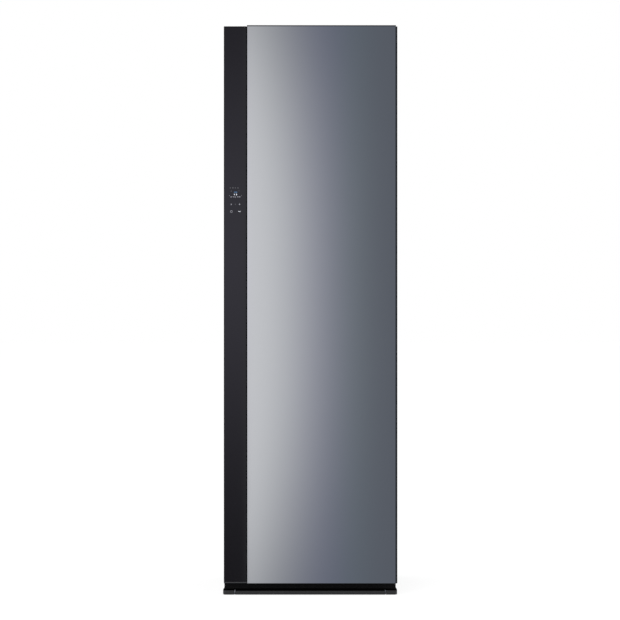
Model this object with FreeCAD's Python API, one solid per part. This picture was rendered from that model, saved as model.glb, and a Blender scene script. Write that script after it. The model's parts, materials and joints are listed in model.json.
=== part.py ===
import FreeCAD, Part
import math
import os

# Steam cabinet for clothes.  Millimetres, +Z up, front towards -Y.
# The origin is on the floor, in the middle of the cabinet's width and depth.

V = FreeCAD.Vector

# ---------------------------------------------------------------- driving dimensions

# Whole cabinet
WIDTH = 600.0
HEIGHT = 1960.0
DEPTH = 596.0

# Clearances
RUN_CLEARANCE = 0.05        # radial, between a pin and its bore
TOUCH_GAP = 0.3             # between faces of two bodies that nearly touch
SLIDE_GAP = 1.0             # each side of a drawer in its bay

# Door face
GLASS_THICKNESS = 4.0
STRIP_THICKNESS = 3.2
STRIP_WIDTH = 79.0
STRIP_CORNER = 3.0
STRIP_LIP = 3.4             # casing edge left bare under the control glass
GLASS_JOINT = 0.4           # between mirror and control glass
DOOR_LEFT_INSET = 3.5
MIRROR_EDGE = 5.0           # casing edge right of the mirror
EDGE_DROP = 2.3             # that edge stops short of the mirror's top
EDGE_SETBACK = 1.0          # and lies this far behind the mirror's face
TRIM_HEIGHT = 3.7
DOOR_BOTTOM = 40.6
FACE_PLATE = 6.0
FACE_EDGE_INSET = 0.4       # face plate above the mirror's lower edge

# Door body
CASING_DEPTH = 46.0
CASING_WALL = 2.0
LINER_WALL = 2.0
HINGE_ZONE = 14.0           # the body is this much shorter than the face, top and bottom
GRIP_BOTTOM = 900.0
GRIP_LENGTH = 350.0
GRIP_DEPTH = 22.0
GRIP_WIDTH = 34.0
DISPLAY_BOTTOM = 1292.0
DISPLAY_HEIGHT = 132.0
DISPLAY_WIDTH = 54.0
DISPLAY_THICKNESS = 4.0
DISPLAY_CARRIER = 1.6       # thickness of the board's carrier
DISPLAY_CARRIER_RIM = 2.0   # the carrier is wider than the board

# Door hinge
HINGE_INSET_X = 18.0
HINGE_INSET_Y = 36.0
HINGE_PIN_RADIUS = 5.0
HINGE_PIN_LENGTH = 26.0
BUSH_RADIUS = 8.0
BUSH_FLANGE_RADIUS = 11.0
HINGE_GAP = 2.0             # between door body and hinge arm
ARM_THICKNESS = 5.0
ARM_HALF_WIDTH = 11.0
HINGE_PLATE_WIDTH = 54.0
HINGE_PLATE_DEPTH = 70.0
HINGE_COVER_WALL = 1.5
HINGE_COVER_GAP = 1.0
HINGE_COVER_CORNER = 4.0

# Trouser press in the door
POCKET_DEPTH = 22.0
POCKET_HALF_WIDTH = 196.0
POCKET_BOTTOM = 660.0
POCKET_TOP = 1700.0
PRESS_BOTTOM = 700.0
PRESS_HEIGHT = 860.0
PRESS_HALF_WIDTH = 170.0
PRESS_THICKNESS = 12.0
PAD_THICKNESS = 8.0
PAD_INSET = 10.0
PAD_TO_PLATE = 6.0
KNUCKLE_RADIUS = 6.0
PRESS_PIN_RADIUS = 3.0
KNUCKLE_LENGTH = 40.0
LUG_LENGTH = 20.0
KNUCKLE_GAP = 4.0           # between the plate's edge and the knuckle
KEEPER_GAP = 4.0            # between the plate's edge and the latch keeper
LATCH_INSET = 30.0
LATCH_SHAFT_RADIUS = 4.0
LATCH_BAR_LENGTH = 46.0
LATCH_BAR_THICKNESS = 3.0
LATCH_BAR_WIDTH = 14.0
LEVER_LENGTH = 70.0
LEVER_WIDTH = 18.0
LEVER_THICKNESS = 8.0
HOLDER_LENGTH = 220.0
HOLDER_ROD_RADIUS = 5.0
HOLDER_BASE_HEIGHT = 40.0
HOLDER_BASE_THICKNESS = 4.0
HOLDER_ARM_WIDTH = 10.0
HOLDER_ARM_HEIGHT = 14.0

# Gasket and front frame
GASKET_THICKNESS = 10.0
GASKET_WIDTH = 16.0
GASKET_OVERLAP = 2.0        # gasket's inner edge outside the opening
GASKET_GROOVE = 3.0         # height of the fold around its outside
FRAME_THICKNESS = 4.0
FRAME_CORNER = 4.0

# Cabinet shell
SHEET = 1.5
SIDE_INSET = 3.0            # side panel face inside the overall width
REAR_GAP = 13.0             # rear spacers hold the cabinet off the wall
SPACER_RADIUS = 12.0
FOOT_HEIGHT = 20.0
PAN_WALL = 2.0
PAN_RIM = 18.0
BEAM_DEPTH = 30.0
VENT_COUNT = 12
VENT_LENGTH = 180.0
VENT_HEIGHT = 5.0
VENT_PITCH = 16.0
VENT_BOTTOM = 130.0
SCREW_HEAD_RADIUS = 4.0
SCREW_RADIUS = 1.6
SCREW_HEAD_HEIGHT = 2.0
SCREW_SLOT = 1.0            # width and depth of the slot in the head
SCREW_ROWS = 5
SCREW_INSET = 12.0          # from the panel's side edge
SCREW_END_GAP = 60.0        # from its top and bottom edge
COVER_EDGE = 14.0           # turned-down edge of the top cover
BEAD_WIDTH = 30.0           # pressed stiffening beads in the rear cover
BEAD_RISE = 3.0
BEAD_OFFSET = 120.0         # from the middle to each bead
BEAD_BOTTOM = 480.0
BEAD_TOP_GAP = 160.0
SPACER_BOTTOM = 330.0
SPACER_TOP_GAP = 200.0
SPACER_INSET = 74.25        # from the side panel's face

# Plinth and foot rail
PLINTH_SETBACK = 28.0       # plinth wall behind the door face
PLINTH_WALL = 3.0
PLINTH_SIDE_INSET = 4.5
PLINTH_GAP = 1.6            # under the door glass
RAIL_SETBACK = 12.0         # rail front behind the door face
RAIL_HEIGHT = 16.0
RAIL_CLEARANCE = 1.0        # rail above the floor
RAIL_THICKNESS = 13.0
RAIL_FLARE_TOP = 23.0
RAIL_CHAMFER = 2.0
CAP_WIDTH = 40.3
CAP_CORNER = 11.0
CAP_JOINT = 3.2             # groove between the rail and each corner piece
CAP_LAP = 0.2               # corner piece outside the plinth
RAIL_BULGE = 1.2            # of the flare's lower arc
RAIL_HOLLOW = 1.0           # of its upper arc

# Feet
FOOT_RADIUS = 16.0
FOOT_PLATE = 8.0
FOOT_STEM_RADIUS = 5.0
FOOT_NUT_FLATS = 17.0
FOOT_NUT_HEIGHT = 7.0
FOOT_STEM_LENGTH = 12.0
FOOT_INSET = 38.0
FOOT_TAB = 4.0

# Treatment tub
TUB_WALL = 3.0
TUB_SIDE_GAP = 30.5         # insulation between side panel and tub
TUB_REAR_GAP = 55.5
TUB_FLOOR = 400.0
TUB_TOP_GAP = 110.0         # drive space over the tub
TUB_CORNER = 25.0
SHELF_HEIGHT = 640.0
SHELF_THICKNESS = 10.0
SHELF_BAR = 8.0
SHELF_SLAT_COUNT = 11
SHELF_GAP = 4.0
PEG_RADIUS = 5.0
PEG_LENGTH = 14.0
PEG_INSET = 60.0            # from the front frame and from the tub's back
SHELF_FRONT_GAP = 20.0
SHELF_RIM = 20.0

# Air outlet in the tub floor
GRILLE_THICKNESS = 4.0
GRILLE_SLOTS = 9
GRILLE_LAP = 6.0            # grille over the edge of the hole
GRILLE_END = 8.0
GRILLE_EDGE = 4.0
OUTLET_GAP = 90.0           # from the backs of the tank bays to the outlet
NOZZLE_RADIUS = 14.0
NOZZLE_HEIGHT = 12.0

# Lamp
LAMP_LENGTH = 140.0
LAMP_DEPTH = 32.0
LAMP_THICKNESS = 6.0
LAMP_SETBACK = 24.0
LAMP_CORNER = 4.0

# Moving hanger
GUIDE_RADIUS = 5.0
GUIDE_SPACING = 28.0
GUIDE_DROP = 30.0           # rod centres under the tub ceiling
GUIDE_END_GAP = 27.0        # from each end of the rods to the tub's side
BRACKET_LENGTH = 20.0
BLOCK_WALL = 6.0            # outside the guide rods
CARRIER_LENGTH = 40.0
CARRIER_OFFSET = 130.0
CARRIER_HALF_HEIGHT = 14.0
BAR_END_GAP = 77.0          # from each end of the bar to the tub's side
BAR_HEIGHT = 20.0
BAR_WIDTH = 24.0
BAR_DROP = 100.0            # top of the bar under the tub ceiling
STEM_WIDTH = 14.0
STEM_INSET = 3.0
NOTCH_COUNT = 5
NOTCH_PITCH = 42.0
NOTCH_RADIUS = 6.0
HANGER_STROKE = 20.0        # each way

# Hanger drive over the tub
BRIDGE_THICKNESS = 4.0
POST_SIZE = 14.0
SLOT_END_GAP = 10.0         # past the post at the ends of its stroke
SLOT_SIDE_GAP = 3.0
YOKE_RISE = 5.0
YOKE_THICKNESS = 4.0
YOKE_HALF_LENGTH = 32.0
YOKE_RIM = 9.0
CRANK_PIN_RADIUS = 5.0
CRANK_PIN_GAP = 0.5
CRANK_PIN_LENGTH = 7.0
CRANK_RADIUS = 50.0
MOTOR_PULLEY_RADIUS = 15.0
PULLEY_THICKNESS = 12.0
PULLEY_FLANGE = 1.5
PULLEY_DISTANCE = 130.0
DRIVE_SHAFT_RADIUS = 5.0
DRIVE_PLATE = 4.0
DRIVE_LEG_GAP = 12.0
DRIVE_HEADROOM = 14.0
MOTOR_RADIUS = 32.0
MOTOR_HEIGHT = 46.0
MOTOR_FLANGE = 4.0
BELT_THICKNESS = 2.0
BELT_MARGIN = 1.0

# Front module with the two tanks and the lint filter
MODULE_SETBACK = 61.0       # module face behind the front frame
MODULE_WALL = 2.5
MODULE_SILL = 76.0          # height of the frame opening's lower edge
BAY_DEPTH = 140.0
BAY_SPACING = 14.0          # between the filter bay and each tank bay
BAY_OUTER_MARGIN = 12.0
BAY_HEADROOM = 22.0         # bay roof under the tub floor
TANK_WALL = 2.5
TANK_FRONT = 12.0
TANK_FRONT_LAP = 2.0
TANK_FRONT_CORNER = 4.0
TANK_HEADROOM = 6.0
CAP_RADIUS = 25.0
CAP_THICKNESS = 3.0
CAP_RIB = 2.0
CAP_MOUTH_RADIUS = 20.0
GRIP_RECESS_WIDTH = 100.0
GRIP_RECESS_HEIGHT = 36.0
GRIP_RECESS_DEPTH = 9.0
GRIP_RECESS_CORNER = 8.0
GRIP_RECESS_DROP = 30.0     # under the panel's top edge
FILTER_BAY_WIDTH = 92.0
FILTER_BAY_HEIGHT = 128.0
FILTER_BAY_DEPTH = 105.0
FILTER_RIBS = 7
FILTER_RIB_THICKNESS = 2.0

# Machine room
COMPRESSOR_RADIUS = 58.0
COMPRESSOR_HEIGHT = 180.0
COMPRESSOR_SHOULDER = 20.0
COMPRESSOR_PLATE = 3.0
COMPRESSOR_PLATE_REACH = 55.0
ACCUMULATOR_RADIUS = 17.5
ACCUMULATOR_HEIGHT = 100.0
ACCUMULATOR_OFFSET = 75.5
COMPRESSOR_SIDE_GAP = 50.0  # to the side panel
COMPRESSOR_REAR_GAP = 40.0  # to the rear cover
GROMMET_RADIUS = 12.0
GROMMET_HEIGHT = 16.0
COIL_LENGTH = 150.0
COIL_DEPTH = 38.0
COIL_HEIGHT = 200.0
COIL_LIFT = 30.0
COIL_GAP = 20.0
COIL_SIDE_GAP = 36.0
COIL_REAR_GAP = 45.0
COIL_SHEET = 2.0
FIN_COUNT = 22
FIN_THICKNESS = 1.2
COIL_TUBE_RADIUS = 4.0
COIL_ROWS = 5
COIL_TUBE_END = 6.0
BLOWER_RADIUS = 72.0
BLOWER_DEPTH = 66.0
BLOWER_CENTRE_Z = 190.0
BLOWER_WALL = 3.0
WHEEL_RADIUS = 60.0
WHEEL_DEPTH = 48.0
BLADE_COUNT = 24
BLADE_DEPTH = 6.5
BLADE_RIM = 1.5
BLADE_THICKNESS = 1.8
WHEEL_SHEET = 3.0
WHEEL_RING = 9.0
HUB_LENGTH = 20.0
BLOWER_LEG_WIDTH = 60.0
FAN_MOTOR_RADIUS = 34.0
FAN_MOTOR_LENGTH = 50.0
FAN_SHAFT_RADIUS = 4.0
GENERATOR_LENGTH = 140.0
GENERATOR_DEPTH = 70.0
GENERATOR_HEIGHT = 100.0
GENERATOR_CORNER = 8.0
GENERATOR_LEG = 20.0
GENERATOR_LEG_WIDTH = 10.0
GENERATOR_SIDE_GAP = 30.0   # to the outer side of the right tank bay
GENERATOR_GAP = 12.0        # behind the tank bays
STUB_LENGTH = 16.0
PUMP_RADIUS = 24.0
PUMP_HEIGHT = 70.0
PUMP_FOOT = 4.0
PUMP_SPOUT = 10.0
PUMP_GAP = 20.0             # behind the tank bays
PUMP_SIDE_GAP = 10.0        # to the left tank bay's side, and between the pumps
HOSE_RADIUS = 6.0
HOSE_RISE = 50.0
HOSE_LEVEL_RUN = 60.0
HOSE_END_RUN = 70.0
PIPE_RADIUS = 4.0
PIPE_RISE = 60.0
PIPE_END_RUN = 60.0
PIPE_TURN_RUN = 80.0
BOARD_LENGTH = 150.0
BOARD_WIDTH = 180.0
BOARD_HEIGHT = 34.0
BOARD_CORNER = 5.0
BOARD_INSET = 15.0          # from the tub's left side
INLET_WIDTH = 50.0
INLET_HEIGHT = 34.0
INLET_PROUD = 6.0
INLET_DEPTH = 24.0
INLET_FLANGE = 4.0
INLET_WALL = 7.0
INLET_INSET = 90.0          # inlet's middle from the side panel
INLET_LIFT = 60.0           # inlet over the base

# ---------------------------------------------------------------- planes worked out from them

X_LEFT = -WIDTH / 2
X_RIGHT = WIDTH / 2
Y_FACE = -DEPTH / 2
Y_WALL = DEPTH / 2

GLASS_TOP = HEIGHT - TRIM_HEIGHT
STRIP_LEFT = X_LEFT + DOOR_LEFT_INSET
STRIP_RIGHT = STRIP_LEFT + STRIP_WIDTH
MIRROR_RIGHT = X_RIGHT - MIRROR_EDGE
FACE_FRONT = Y_FACE + GLASS_THICKNESS
FACE_BACK = FACE_FRONT + FACE_PLATE
CASING_BACK = FACE_BACK + CASING_DEPTH
LINER_BACK = CASING_BACK + LINER_WALL
BODY_BOTTOM = DOOR_BOTTOM + HINGE_ZONE
BODY_TOP = GLASS_TOP - HINGE_ZONE

HINGE_X = X_RIGHT - HINGE_INSET_X
HINGE_Y = Y_FACE + HINGE_INSET_Y
UPPER_ARM_Z = BODY_TOP + HINGE_GAP
LOWER_ARM_Z = BODY_BOTTOM - HINGE_GAP - ARM_THICKNESS

GASKET_BACK = LINER_BACK + GASKET_THICKNESS
FRAME_FRONT = GASKET_BACK + TOUCH_GAP
FRAME_BACK = FRAME_FRONT + FRAME_THICKNESS

PANEL_X = WIDTH / 2 - SIDE_INSET
PANEL_INNER = PANEL_X - SHEET
REAR_FACE = Y_WALL - REAR_GAP
REAR_INNER = REAR_FACE - SHEET
PAN_FLOOR = FOOT_HEIGHT + PAN_WALL
CABINET_TOP = UPPER_ARM_Z
BEAM_TOP = LOWER_ARM_Z
BEAM_FRONT = FRAME_BACK - BEAM_DEPTH / 2
BEAM_BACK = BEAM_FRONT + BEAM_DEPTH

TUB_OUTER_X = PANEL_INNER - TUB_SIDE_GAP
TUB_INNER_X = TUB_OUTER_X - TUB_WALL
TUB_BACK = REAR_INNER - TUB_REAR_GAP
TUB_INNER_BACK = TUB_BACK - TUB_WALL
TUB_CEILING = CABINET_TOP - TUB_TOP_GAP - TUB_WALL
TUB_ROOF = TUB_CEILING + TUB_WALL
TUB_UNDER = TUB_FLOOR - TUB_WALL
TUB_MID_Y = (FRAME_BACK + TUB_INNER_BACK) / 2

MODULE_FACE = FRAME_BACK + MODULE_SETBACK
BAY_BACK = MODULE_FACE + BAY_DEPTH
BAY_OUTER = TUB_INNER_X - BAY_OUTER_MARGIN
FILTER_HALF = FILTER_BAY_WIDTH / 2
BAY_INNER = FILTER_HALF + BAY_SPACING

PLINTH_FRONT = Y_FACE + PLINTH_SETBACK
PLINTH_TOP = DOOR_BOTTOM - PLINTH_GAP
PLINTH_X = WIDTH / 2 - PLINTH_SIDE_INSET
RAIL_FRONT = Y_FACE + RAIL_SETBACK
RAIL_TOP = RAIL_CLEARANCE + RAIL_HEIGHT
RAIL_END = WIDTH / 2 - CAP_WIDTH


# ---------------------------------------------------------------- shape helpers

def box(x0, x1, y0, y1, z0, z1):
    """A box between two opposite corners."""
    return Part.makeBox(x1 - x0, y1 - y0, z1 - z0, V(x0, y0, z0))


def rod_x(y, z, x0, x1, radius):
    """A round bar along X."""
    return Part.makeCylinder(radius, x1 - x0, V(x0, y, z), V(1, 0, 0))


def rod_y(x, z, y0, y1, radius):
    """A round bar along Y."""
    return Part.makeCylinder(radius, y1 - y0, V(x, y0, z), V(0, 1, 0))


def rod_z(x, y, z0, z1, radius):
    """A round bar along Z."""
    return Part.makeCylinder(radius, z1 - z0, V(x, y, z0), V(0, 0, 1))


def joined(shapes):
    """One solid out of shapes that touch or overlap."""
    parts = list(shapes)
    result = parts[0]
    if len(parts) > 1:
        result = parts[0].multiFuse(parts[1:])
    return result.removeSplitter()


def cut(shape, tools):
    """The shape without the tools."""
    return shape.cut(list(tools))


def mirrored(shape):
    """The same shape on the other side of the cabinet's middle plane."""
    return shape.mirror(V(0, 0, 0), V(1, 0, 0))


def moved(shape, x=0.0, y=0.0, z=0.0):
    """A copy of the shape, shifted."""
    copy = shape.copy()
    copy.translate(V(x, y, z))
    return copy


def rounded_edges(shape, radius, direction, where):
    """Fillet the straight edges along a direction whose middle passes the test."""
    chosen = []
    for edge in shape.Edges:
        if not isinstance(edge.Curve, Part.Line):
            continue
        along = edge.Vertexes[1].Point.sub(edge.Vertexes[0].Point)
        along.normalize()
        if abs(along.dot(direction)) > 0.999 and where(edge.CenterOfMass):
            chosen.append(edge)
    return shape.makeFillet(radius, chosen)


def plate_xz(x0, x1, z0, z1, y0, y1, radius):
    """A plate that faces Y, with four round corners."""
    plate = box(x0, x1, y0, y1, z0, z1)
    return rounded_edges(plate, radius, V(0, 1, 0), lambda point: True)


def pipe(points, radius):
    """A round pipe through the points, each corner turned by a tangent arc."""
    edges = []
    last = points[0]
    for before, corner, after in zip(points, points[1:], points[2:]):
        into = corner.sub(before)
        out = after.sub(corner)
        half_turn = into.getAngle(out) / 2
        trim = min(into.Length, out.Length) * 0.45
        bend = trim / math.tan(half_turn)
        into.normalize()
        out.normalize()
        start = corner.sub(into * trim)
        end = corner.add(out * trim)
        inward = out.sub(into)
        inward.normalize()
        reach = bend / math.cos(half_turn) - bend
        edges.append(Part.LineSegment(last, start).toShape())
        edges.append(Part.Arc(start, corner.add(inward * reach), end).toShape())
        last = end
    edges.append(Part.LineSegment(last, points[-1]).toShape())
    path = Part.Wire(edges)
    first_run = points[1].sub(points[0])
    ring = Part.Wire(Part.Circle(points[0], first_run, radius).toShape())
    return path.makePipeShell([ring], True, False)


def save(node, *solids):
    """Write one node's solids to its STEP file."""
    shape = solids[0] if len(solids) == 1 else Part.makeCompound(list(solids))
    if not shape.isValid():
        raise ValueError("bad shape: " + node)
    shape.exportStep(os.path.join("parts", node + ".step"))
    print("%-22s %d solid(s)" % (node, len(shape.Solids)))


# ---------------------------------------------------------------- door face

def mirror_glass():
    """Mirror over the door, right of the control strip."""
    return box(STRIP_RIGHT + GLASS_JOINT, MIRROR_RIGHT, Y_FACE, FACE_FRONT, DOOR_BOTTOM, GLASS_TOP)


def mirror_top_trim():
    """Thin cap over the mirror's top edge and the face plate behind it."""
    return box(STRIP_RIGHT + GLASS_JOINT, MIRROR_RIGHT, Y_FACE, FACE_BACK, GLASS_TOP, HEIGHT)


def control_glass():
    """Black glass strip with a round upper left corner."""
    front = FACE_FRONT - STRIP_THICKNESS
    bottom = DOOR_BOTTOM + STRIP_LIP
    glass = box(STRIP_LEFT, STRIP_RIGHT, front, FACE_FRONT, bottom, GLASS_TOP)
    return rounded_edges(glass, STRIP_CORNER, V(0, 1, 0),
                         lambda point: point.x < STRIP_LEFT + 1 and point.z > GLASS_TOP - 1)


def display_window(front, back, margin):
    """The space of the display board in the face plate."""
    middle = (STRIP_LEFT + STRIP_RIGHT) / 2
    half = DISPLAY_WIDTH / 2 + margin
    return box(middle - half, middle + half, front, back,
               DISPLAY_BOTTOM - margin, DISPLAY_BOTTOM + DISPLAY_HEIGHT + margin)


def display_board():
    """Board with the display and the touch keys, stuck to the back of the control glass."""
    back = FACE_FRONT + DISPLAY_THICKNESS
    board = display_window(FACE_FRONT, back - DISPLAY_CARRIER, 0)
    carrier = display_window(back - DISPLAY_CARRIER, back, DISPLAY_CARRIER_RIM)
    return joined([board, carrier])


# ---------------------------------------------------------------- door body

def grip_space(outer):
    """Finger grip in the door's left side; the outer form includes the pocket's wall."""
    wall = CASING_WALL if outer else 0.0
    middle = (FACE_BACK + CASING_BACK) / 2
    half = GRIP_WIDTH / 2 + wall
    start = STRIP_LEFT if outer else STRIP_LEFT - 1
    return box(start, STRIP_LEFT + GRIP_DEPTH + wall, middle - half, middle + half,
               GRIP_BOTTOM - wall, GRIP_BOTTOM + GRIP_LENGTH + wall)


def hinge_boss(z0, z1, margin=0.0):
    """Block in a corner of the casing that holds a hinge bush."""
    left = HINGE_X - BUSH_RADIUS * 2 - margin
    front = HINGE_Y - BUSH_RADIUS * 2 - margin
    back = HINGE_Y + BUSH_RADIUS * 1.8 + margin
    return box(left, X_RIGHT - CASING_WALL, front, back, z0 - margin, z1 + margin)


def upper_boss(margin=0.0):
    """The boss under the casing's top wall."""
    return hinge_boss(BODY_TOP - CASING_WALL - HINGE_PIN_LENGTH, BODY_TOP - CASING_WALL, margin)


def lower_boss(margin=0.0):
    """The boss on the casing's bottom wall."""
    return hinge_boss(BODY_BOTTOM + CASING_WALL, BODY_BOTTOM + CASING_WALL + HINGE_PIN_LENGTH, margin)


def door_casing():
    """Door pan: face plate, four walls, the two hinge bosses and the edge beside the mirror."""
    face = box(STRIP_LEFT, X_RIGHT, FACE_FRONT, FACE_BACK, DOOR_BOTTOM + FACE_EDGE_INSET, GLASS_TOP)
    edge_front = Y_FACE + EDGE_SETBACK
    edge = box(MIRROR_RIGHT + TOUCH_GAP, X_RIGHT, edge_front, FACE_FRONT,
               DOOR_BOTTOM + EDGE_DROP, GLASS_TOP - EDGE_DROP)
    edge = rounded_edges(edge, EDGE_DROP, V(0, 1, 0),
                         lambda point: point.x > X_RIGHT - 1 and point.z > HEIGHT / 2)
    outside = box(STRIP_LEFT, X_RIGHT, FACE_BACK, CASING_BACK, BODY_BOTTOM, BODY_TOP)
    inside = box(STRIP_LEFT + CASING_WALL, X_RIGHT - CASING_WALL, FACE_BACK, CASING_BACK,
                 BODY_BOTTOM + CASING_WALL, BODY_TOP - CASING_WALL)
    pan = joined([face, edge, outside.cut(inside), upper_boss(), lower_boss()])
    bores = rod_z(HINGE_X, HINGE_Y, BODY_BOTTOM - 1, BODY_BOTTOM + CASING_WALL + HINGE_PIN_LENGTH + 1,
                  BUSH_RADIUS)
    top_bore = rod_z(HINGE_X, HINGE_Y, BODY_TOP - CASING_WALL - HINGE_PIN_LENGTH - 1, BODY_TOP + 1,
                     BUSH_RADIUS)
    window = display_window(FACE_FRONT - 1, FACE_BACK + 1, DISPLAY_CARRIER_RIM + TOUCH_GAP)
    return cut(pan, [bores, top_bore, grip_space(True), window])


def door_grip():
    """Moulded pocket for the fingers, let into the door's left side."""
    return grip_space(True).cut(grip_space(False))


def hinge_bush(wall_side, inner_end):
    """Flanged plain bush; the flange lies outside the casing's wall."""
    flange_end = wall_side + (HINGE_GAP - TOUCH_GAP) * (1 if wall_side > inner_end else -1)
    low, high = sorted((wall_side, inner_end))
    flange_low, flange_high = sorted((wall_side, flange_end))
    sleeve = rod_z(HINGE_X, HINGE_Y, low, high, BUSH_RADIUS)
    flange = rod_z(HINGE_X, HINGE_Y, flange_low, flange_high, BUSH_FLANGE_RADIUS)
    bore = rod_z(HINGE_X, HINGE_Y, min(low, flange_low) - 1, max(high, flange_high) + 1,
                 HINGE_PIN_RADIUS + RUN_CLEARANCE)
    return joined([sleeve, flange]).cut(bore)


def door_hinge_bushes():
    """The bushes that carry the door, upper and lower."""
    upper = hinge_bush(BODY_TOP, BODY_TOP - CASING_WALL - HINGE_PIN_LENGTH)
    lower = hinge_bush(BODY_BOTTOM, BODY_BOTTOM + CASING_WALL + HINGE_PIN_LENGTH)
    return upper, lower


def pocket_space(margin):
    """The press pocket in the liner, grown by a margin."""
    floor = LINER_BACK - POCKET_DEPTH - margin
    return box(-POCKET_HALF_WIDTH - margin, POCKET_HALF_WIDTH + margin, floor, LINER_BACK,
               POCKET_BOTTOM - margin, POCKET_TOP + margin)


def door_liner():
    """Inner panel of the door with the sunk pocket of the trouser press."""
    panel = box(STRIP_LEFT, X_RIGHT, CASING_BACK, LINER_BACK, BODY_BOTTOM, BODY_TOP)
    pocket = pocket_space(LINER_WALL)
    space = box(-POCKET_HALF_WIDTH, POCKET_HALF_WIDTH, LINER_BACK - POCKET_DEPTH, LINER_BACK + 1,
                POCKET_BOTTOM, POCKET_TOP)
    space = rounded_edges(space, POCKET_DEPTH / 2, V(0, 1, 0), lambda point: True)
    return joined([panel, pocket]).cut(space)


def door_insulation():
    """Foam that fills the casing around the bosses, the grip and the pocket."""
    foam = box(STRIP_LEFT + CASING_WALL, X_RIGHT - CASING_WALL, FACE_BACK, CASING_BACK,
               BODY_BOTTOM + CASING_WALL, BODY_TOP - CASING_WALL)
    return cut(foam, [upper_boss(), lower_boss(), grip_space(True), pocket_space(LINER_WALL)])


def ring_xz(x, z0, z1, width, y0, y1):
    """A rectangular ring that faces Y; x and z are its inner edge."""
    outer = plate_xz(-x - width, x + width, z0 - width, z1 + width, y0, y1, width)
    return outer.cut(box(-x, x, y0 - 1, y1 + 1, z0, z1))


def door_gasket():
    """Soft magnetic seal around the liner, nearly touching the front frame."""
    inner = TUB_INNER_X + GASKET_OVERLAP
    seal = ring_xz(inner, MODULE_SILL - GASKET_OVERLAP, TUB_CEILING + GASKET_OVERLAP, GASKET_WIDTH,
                   LINER_BACK, GASKET_BACK)
    depth = GASKET_WIDTH / 3
    half = GASKET_GROOVE / 2
    middle = (LINER_BACK + GASKET_BACK) / 2
    outer = inner + GASKET_WIDTH
    low = MODULE_SILL - GASKET_OVERLAP - GASKET_WIDTH
    high = TUB_CEILING + GASKET_OVERLAP + GASKET_WIDTH
    band = box(-outer - 1, outer + 1, middle - half, middle + half, low - 1, high + 1)
    core = box(-outer + depth, outer - depth, middle - half - 1, middle + half + 1,
               low + depth, high - depth)
    return seal.cut(band.cut(core))


# ---------------------------------------------------------------- trouser press

POCKET_FLOOR = LINER_BACK - POCKET_DEPTH
PLATE_FRONT = POCKET_FLOOR + PAD_THICKNESS + PAD_TO_PLATE
PLATE_BACK = PLATE_FRONT + PRESS_THICKNESS
PRESS_TOP = PRESS_BOTTOM + PRESS_HEIGHT
PRESS_AXIS_Y = (PLATE_FRONT + PLATE_BACK) / 2
PRESS_AXIS_X = PRESS_HALF_WIDTH + KNUCKLE_RADIUS + KNUCKLE_GAP
PRESS_MIDDLE = (PRESS_BOTTOM + PRESS_TOP) / 2
LATCH_X = -PRESS_HALF_WIDTH + LATCH_INSET


def lug_heights():
    """Lower ends of the three fixed lugs of the press hinge."""
    return [PRESS_BOTTOM, PRESS_MIDDLE - LUG_LENGTH / 2, PRESS_TOP - LUG_LENGTH]


def press_pad():
    """Padded board that the trousers lie on."""
    half = PRESS_HALF_WIDTH - PAD_INSET
    return plate_xz(-half, half, PRESS_BOTTOM + PAD_INSET, PRESS_TOP - PAD_INSET,
                    POCKET_FLOOR, POCKET_FLOOR + PAD_THICKNESS, PAD_INSET)


def press_plate():
    """Plate that swings over the pad, with its two hinge knuckles and the bore for the latch."""
    plate = plate_xz(-PRESS_HALF_WIDTH, PRESS_HALF_WIDTH, PRESS_BOTTOM, PRESS_TOP,
                     PLATE_FRONT, PLATE_BACK, PAD_INSET)
    rim = PAD_INSET * 2
    sunk = plate_xz(-PRESS_HALF_WIDTH + rim + LATCH_INSET, PRESS_HALF_WIDTH - rim, PRESS_BOTTOM + rim,
                    PRESS_TOP - rim, PLATE_BACK - PRESS_THICKNESS / 4, PLATE_BACK + 1, rim)
    shapes = [plate.cut(sunk)]
    low = PRESS_BOTTOM + LUG_LENGTH + SLIDE_GAP
    high = PRESS_TOP - LUG_LENGTH - SLIDE_GAP - KNUCKLE_LENGTH
    for bottom in (low, high):
        top = bottom + KNUCKLE_LENGTH
        shapes.append(rod_z(PRESS_AXIS_X, PRESS_AXIS_Y, bottom, top, KNUCKLE_RADIUS))
        shapes.append(box(PRESS_HALF_WIDTH - 1, PRESS_AXIS_X, PRESS_AXIS_Y - KNUCKLE_RADIUS / 2,
                          PRESS_AXIS_Y + KNUCKLE_RADIUS / 2, bottom, top))
    bore = rod_z(PRESS_AXIS_X, PRESS_AXIS_Y, PRESS_BOTTOM - 1, PRESS_TOP + 1,
                 PRESS_PIN_RADIUS + RUN_CLEARANCE)
    latch_bore = rod_y(LATCH_X, PRESS_MIDDLE, PLATE_FRONT - 1, PLATE_BACK + 1,
                       LATCH_SHAFT_RADIUS + RUN_CLEARANCE)
    return cut(joined(shapes), [bore, latch_bore])


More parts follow.
